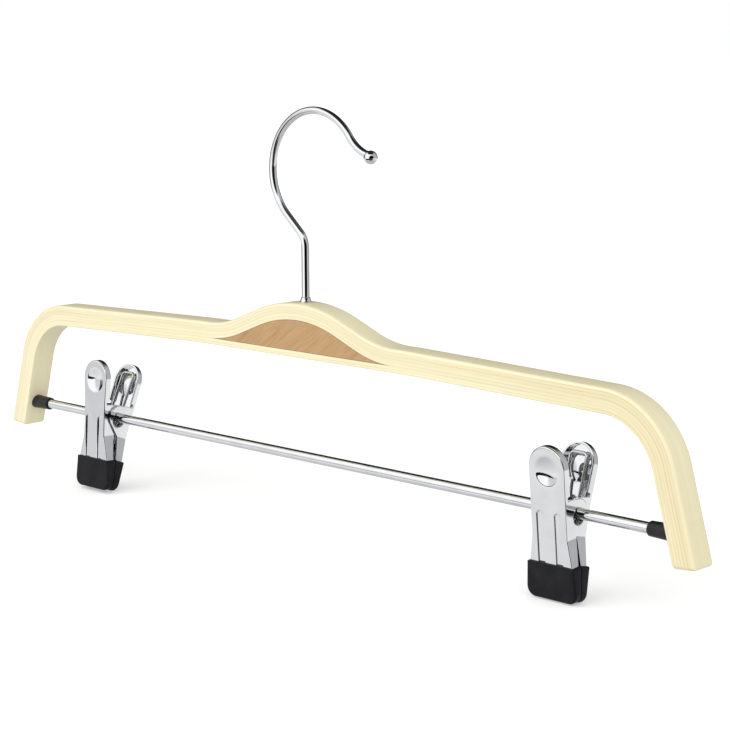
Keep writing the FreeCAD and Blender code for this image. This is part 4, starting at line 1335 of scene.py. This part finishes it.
def jaw_mesh(clip, waist):
    """Stamped jaw about the pivot: pressed plate, rounded fold and trimmed flanges, as thick as the sheet."""
    half = jaw_half(clip, waist)
    plate = -clip.plate
    shape = bmesh.new()
    rings = fold_rings(clip, half + mirrored(half[1:-1]))
    skin_points(shape, rings)
    places, triangles = filled([(point.x, point.z) for point in rings[0]], [], PLATE_STEP)
    pressed = pressing(clip, places)
    add_triangles(shape, [(x, plate + deep, z) for (x, z), deep in zip(places, pressed)], triangles)
    add_flanges(shape, clip, half)
    bmesh.ops.remove_doubles(shape, verts=shape.verts, dist=JAW_MERGE_DISTANCE)
    bmesh.ops.recalc_face_normals(shape, faces=shape.faces)
    spot = Vector((0, plate, FLAT_SPOT))
    front = min(shape.faces, key=lambda face: (face.calc_center_median() - spot).length)
    if front.normal.y > 0:
        bmesh.ops.reverse_faces(shape, faces=shape.faces)
    thing = placed("helper", to_mesh(shape))
    wall = thing.modifiers.new("Sheet", "SOLIDIFY")
    wall.thickness = clip.sheet
    wall.offset = -1
    wall.use_even_offset = True
    dulled = thing.modifiers.new("Dulled edges", "BEVEL")
    dulled.width = DULLED_EDGE
    dulled.segments = DULLED_STEPS
    dulled.limit_method = "ANGLE"
    dulled.angle_limit = math.radians(DULLED_ANGLE)
    return smooth(plain_mesh(thing), JAW_SHARP_ANGLE)


def tip_mesh(clip):
    """Dipped tip about the pivot: rounded block from its front face to the clip's middle plane."""
    top = Vector((clip.coat_top_width / 2, -clip.coat_top))
    bottom = Vector((clip.coat_bottom_width / 2, -clip.coat_bottom))
    corners = [(Vector((0, -clip.coat_top)), 0), (top, clip.coat_edge), (bottom, clip.coat_corner),
               (Vector((0, -clip.coat_bottom)), 0)]
    half = rounded_line(corners, TIP_STEP)
    loop = half + mirrored(half[1:-1])
    inward = inward_of(loop)
    face = -clip.plate - clip.coat
    swings = quarter_turn(ROUND_STEPS)

    def front_ring(swing, border):
        ring = []
        for point, normal in zip(loop, inward):
            bend = clip.coat_edge * (1 - TIP_CRISP_SHARE * max(0, -normal.y))
            spot = point + normal * (bend * (1 - math.sin(swing)) + border)
            ring.append(Vector((spot.x, face + bend * (1 - math.cos(swing)), spot.y)))
        return ring

    def back_ring(swing, border):
        ring = []
        for point, normal in zip(loop, inward):
            spot = point + normal * (TIP_BACK_ROUND * (1 - math.cos(swing)) + border)
            off = TIP_BACK_ROUND * (1 - math.sin(swing))
            ring.append(Vector((spot.x, middle_plane(clip, spot.y, clip.pad_gap / 2) - off, spot.y)))
        return ring

    rings = [front_ring(0, TIP_FRONT_BORDER)]
    rings += [front_ring(swing, 0) for swing in swings]
    rings += [back_ring(swing, 0) for swing in swings]
    rings.append(back_ring(math.pi / 2, TIP_BACK_BORDER))
    shape = bmesh.new()
    first, last = skin_points(shape, rings)
    shape.faces.new(reversed(first))
    shape.faces.new(last)
    return smooth(merged(shape), ROUND_SHARP_ANGLE)


def spring_half(clip):
    """Right half of a spring's path about the pivot, from the middle of the bight to a free leg's end."""
    inner = clip.plate - clip.sheet
    radius = (clip.hole + clip.wire) / 2
    aside = clip.bight_width / 2
    rear = Matrix.Rotation(-clip.lean, 3, "X")
    front = Matrix.Rotation(clip.lean, 3, "X")
    top = rear @ Vector((aside, inner - clip.bight_standoff, clip.bight_height))
    end = front @ Vector((0, clip.leg_standoff - inner, clip.leg_height))
    first = math.atan2(top.z, top.y) - math.acos(radius / math.hypot(top.y, top.z))
    last = math.atan2(end.z, end.y) + math.acos(radius / math.hypot(end.y, end.z))
    last -= 2 * math.pi * SPRING_WRAPS
    turns = (first - last) / (2 * math.pi)
    coil = []
    for index in range(COIL_STEPS + 1):
        swing = first + (last - first) * index / COIL_STEPS
        coil.append(Vector((aside - clip.pitch * turns * index / COIL_STEPS, radius * math.cos(swing),
                            radius * math.sin(swing))))
    down = (coil[0] - top).normalized()
    corner = clip.bight_corner
    points = [Vector((0, top.y, top.z)), Vector((aside - corner, top.y, top.z))]
    for swing in quarter_turn(BIGHT_STEPS)[1:]:
        points.append(Vector((aside - corner + corner * math.sin(swing), top.y, top.z))
                      + down * corner * (1 - math.cos(swing)))
    start = points[-1]
    points += [start.lerp(coil[0], index / SPRING_LEG_STEPS) for index in range(1, SPRING_LEG_STEPS)]
    points += coil
    leg_end = Vector((coil[-1].x, end.y, end.z))
    points += [coil[-1].lerp(leg_end, index / SPRING_LEG_STEPS) for index in range(1, SPRING_LEG_STEPS + 1)]
    return points


def clip_place(side):
    """Matrix from the clip's pivot to the frame."""
    pivot = joint_place(f"{side}_clip_open")
    return Matrix.Translation(pivot) @ Matrix.Rotation(clip_lean(side), 4, "X")


class HANGER_OT_clips(bpy.types.Operator):
    """Presses the jaws of both clips and dips their tips"""
    bl_idname = "hanger.clips"
    bl_label = "Clips"

    def execute(self, context):
        clip = context.scene.hanger_clip
        narrow = clip.waist - 2 * (clip.sheet + clip.side_gap)
        blanks = {"outer": jaw_mesh(clip, clip.waist), "inner": jaw_mesh(clip, narrow)}
        tip = tip_mesh(clip)
        for side, front in FRONT_JAWS:
            for kind, blank in blanks.items():
                turn = Matrix.Rotation(clip.lean, 4, "X")
                if kind != front:
                    turn = Matrix.Rotation(-clip.lean, 4, "X") @ Matrix.Rotation(math.pi, 4, "Z")
                place = clip_place(side) @ turn
                name = f"{side}_{kind}"
                jaw = blank.copy()
                jaw.transform(place)
                piece(name + "_jaw_pressed", jaw, chrome_sheet(), name + "_jaw", "chrome", name + "_jaw")
                coat = tip.copy()
                coat.transform(place)
                piece(name + "_tip_dipped", coat, soft_vinyl(), name + "_jaw", "soft_vinyl", name + "_tip")
        for mesh in (*blanks.values(), tip):
            bpy.data.meshes.remove(mesh)
        return {"FINISHED"}


class HANGER_OT_springs(bpy.types.Operator):
    """Winds the springs of both clips"""
    bl_idname = "hanger.springs"
    bl_label = "Springs"

    def execute(self, context):
        clip = context.scene.hanger_clip
        half = spring_half(clip)
        path = [Vector((-point.x, point.y, point.z)) for point in reversed(half[1:])] + half
        for side, front in FRONT_JAWS:
            place = clip_place(side)
            name = f"{side}_spring"
            mesh = wire([place @ point for point in path], clip.wire, SPRING_SIDES, spring_steel())
            spring = piece(name + "_wound", mesh, spring_steel(), None, "spring_steel", name)
            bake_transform(spring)
        return {"FINISHED"}


# Stage

FLOOR_REACH = 8.0
FLOOR_GAP = 0.0002
FLOOR_GLOW = 0.34
FLOOR_TONE_SHARE = 0.985
DARK_CARD = ((-0.32, -0.49), (0.6, -0.195))
LIGHT_SPREAD = 70
SENSOR_WIDTH = 36.0
VIEW_END = 50.0

WHITE = (1, 1, 1)
BLACK = (0, 0, 0)
SOFT = (0.56, 0.56, 0.56)
BRIGHT = (1.2, 1.2, 1.2)
DARK = (0.02, 0.02, 0.022)

# Zones of the studio that polished metal sees: azimuth, elevation, inner angle, outer angle and tone
STUDIO_ZONES = (
    (150, 20, 40, 95, (0.5, 0.5, 0.51)),
    (0, 90, 30, 45, DARK),
    (226, 20, 30, 62, DARK),
    (261, 0, 22, 36, DARK),
    (305, -3, 8, 24, (0.75, 0.76, 0.77)),
    (56, -4, 34, 46, (0.004, 0.004, 0.005)),
)

# The table under the studio: its zone, its tones by how steeply it is seen, and where it ends
TABLE_ZONE = (50, -20, 22, 42, (0.1, 0.1, 0.105))
TABLE_TONES = (-0.85, -0.25, 0.55, 0.95)
TABLE_EDGE = (-0.19, -0.135)


def studio_world(scene):
    """White world for the camera, plain soft light for the object, and a studio for polished metal."""
    world = bpy.data.worlds.new("Studio")
    scene.world = world
    world.use_nodes = True
    tree = world.node_tree
    path = node(tree, "ShaderNodeLightPath", {}).outputs
    place = node(tree, "ShaderNodeTexCoord", {}).outputs["Generated"]
    seen = node(tree, "ShaderNodeVectorMath", {0: place}, operation="NORMALIZE").outputs[0]
    up = node(tree, "ShaderNodeSeparateXYZ", {0: seen}).outputs["Z"]

    def with_zone(tones, azimuth, elevation, inner, outer, tone):
        """The tones with another laid over them, full within the inner angle and gone past the outer."""
        level = math.cos(math.radians(elevation))
        swing = math.radians(azimuth)
        heading = (math.sin(swing) * level, -math.cos(swing) * level, math.sin(math.radians(elevation)))
        facing = node(tree, "ShaderNodeVectorMath", {0: seen, 1: heading}, operation="DOT_PRODUCT")
        mask = ranged(tree, facing.outputs["Value"], math.cos(math.radians(outer)),
                      math.cos(math.radians(inner)), 0, 1, "SMOOTHSTEP")
        return mixed(tree, mask, tones, rgba(tone))

    studio = rgba(BRIGHT)
    for zone in STUDIO_ZONES:
        studio = with_zone(studio, *zone)
    table = mixed(tree, ranged(tree, up, *TABLE_TONES), rgba(BLACK), rgba(WHITE))
    table = with_zone(table, *TABLE_ZONE)
    studio = mixed(tree, ranged(tree, up, *TABLE_EDGE, 1, 0, "SMOOTHSTEP"), studio, table)
    polished = number(tree, "ADD", path["Is Glossy Ray"], path["Is Transmission Ray"])
    light = mixed(tree, number(tree, "MINIMUM", polished, 1), rgba(SOFT), studio)
    light = mixed(tree, path["Is Camera Ray"], light, rgba(WHITE))
    feed(tree, tree.nodes["Background"], {"Color": light, "Strength": 1.0})


def matt(name, first, second, scale, roughness):
    """Dull, faintly uneven material of the stage."""
    material, tree, shader = blank_material(name)
    place = node(tree, "ShaderNodeTexCoord", {})
    noise = node(tree, "ShaderNodeTexNoise", {"Vector": place.outputs["Object"], "Scale": scale})
    feed(tree, shader, {"Base Color": mixed(tree, noise.outputs["Fac"], rgba(first), rgba(second)),
                        "Roughness": roughness, "Specular IOR Level": 0.0})
    return material, tree, shader


def floor_material():
    """Pale floor that reads white to the camera and keeps the shadow."""
    pale = bpy.context.scene.hanger_finish.floor
    darker = [value * FLOOR_TONE_SHARE for value in pale]
    material, tree, shader = matt("Studio floor", pale, darker, 30.0, 0.9)
    path = node(tree, "ShaderNodeLightPath", {}).outputs
    shown = number(tree, "MAXIMUM", path["Is Camera Ray"], path["Is Transmission Ray"])
    feed(tree, shader, {"Emission Color": rgba(WHITE),
                        "Emission Strength": number(tree, "MULTIPLY", shown, FLOOR_GLOW)})
    return material


def card_material():
    """Black card that only polished metal sees."""
    return matt("Black card", (0.01, 0.01, 0.01), (0.02, 0.02, 0.02), 20.0, 1.0)[0]


def flat_sheet(name, low, high, material):
    """Level sheet of the stage just under the hanger."""
    level = CAD_BOX[0][2] - FLOOR_GAP
    corners = ((low[0], low[1]), (high[0], low[1]), (high[0], high[1]), (low[0], high[1]))
    mesh = bpy.data.meshes.new(name)
    mesh.from_pydata([(x, y, level) for x, y in corners], [], [(0, 1, 2, 3)])
    mesh.materials.append(material)
    thing = placed(name, mesh)
    return thing


def soft_sun(name, heading, strength):
    lamp = bpy.data.lights.new(name, "SUN")
    lamp.energy = strength
    lamp.angle = math.radians(LIGHT_SPREAD)
    thing = placed(name, lamp)
    thing.rotation_euler = Vector(heading).to_track_quat("Z", "Y").to_euler()
    thing.visible_glossy = False


def place_camera(view):
    """Camera at the picture's angle, from its turn, tilt and roll about the bar's middle."""
    look = Vector((-math.sin(view.turn) * math.cos(view.tilt), math.cos(view.turn) * math.cos(view.tilt),
                   -math.sin(view.tilt)))
    right = Vector((math.cos(view.turn), math.sin(view.turn), 0))
    up = right.cross(look)
    across = right * math.cos(view.roll) + up * math.sin(view.roll)
    above = up * math.cos(view.roll) - right * math.sin(view.roll)
    spot = middle_of_bar() - look * view.distance + across * view.aside + above * view.above
    camera = bpy.data.cameras.new("Picture camera")
    camera.sensor_width = SENSOR_WIDTH
    camera.lens = view.lens
    camera.clip_end = VIEW_END
    thing = placed("Picture camera", camera)
    axes = Matrix((across, above, -look)).transposed().to_4x4()
    thing.matrix_world = Matrix.Translation(spot) @ axes
    bpy.context.scene.camera = thing


class HANGER_OT_stage(bpy.types.Operator):
    """Sets the floor, the soft studio light and the camera"""
    bl_idname = "hanger.stage"
    bl_label = "Stage"

    def execute(self, context):
        scene = context.scene
        scene.view_settings.view_transform = "Standard"
        floor = flat_sheet("studio_floor", (-FLOOR_REACH, -FLOOR_REACH), (FLOOR_REACH, FLOOR_REACH),
                           floor_material())
        floor.visible_glossy = False
        card = flat_sheet("dark_card", *DARK_CARD, card_material())
        card.visible_camera = False
        card.visible_diffuse = False
        card.visible_shadow = False
        studio_world(scene)
        soft_sun("Front light", (-0.35, -0.85, 0.42), 1.45)
        soft_sun("Side light", (0.8, -0.42, 0.4), 1.2)
        place_camera(scene.hanger_view)
        return {"FINISHED"}


class HANGER_PT_build(bpy.types.Panel):
    """Lists the steps that build the hanger"""
    bl_idname = "HANGER_PT_build"
    bl_label = "Skirt hanger"
    bl_space_type = "VIEW_3D"
    bl_region_type = "UI"
    bl_category = "Hanger"

    def draw(self, context):
        for step in STEPS:
            self.layout.operator(step.bl_idname)


STEPS = (HANGER_OT_bent_wood, HANGER_OT_hook, HANGER_OT_bar, HANGER_OT_clips, HANGER_OT_springs,
         HANGER_OT_stage)
GROUPS = {
    "hanger_wood": HangerWood,
    "hanger_hook": HangerHook,
    "hanger_bar": HangerBar,
    "hanger_clip": HangerClip,
    "hanger_finish": HangerFinish,
    "hanger_view": HangerView,
}


def register():
    for item in (*GROUPS.values(), *STEPS, HANGER_PT_build):
        bpy.utils.register_class(item)
    for name, group in GROUPS.items():
        setattr(bpy.types.Scene, name, PointerProperty(type=group))


def unregister():
    for name in GROUPS:
        delattr(bpy.types.Scene, name)
    for item in reversed((*GROUPS.values(), *STEPS, HANGER_PT_build)):
        bpy.utils.unregister_class(item)


def main():
    register()
    bpy.ops.hanger.bent_wood()
    bpy.ops.hanger.hook()
    bpy.ops.hanger.bar()
    bpy.ops.hanger.clips()
    bpy.ops.hanger.springs()
    bpy.ops.hanger.stage()


if __name__ == "__main__":
    main()
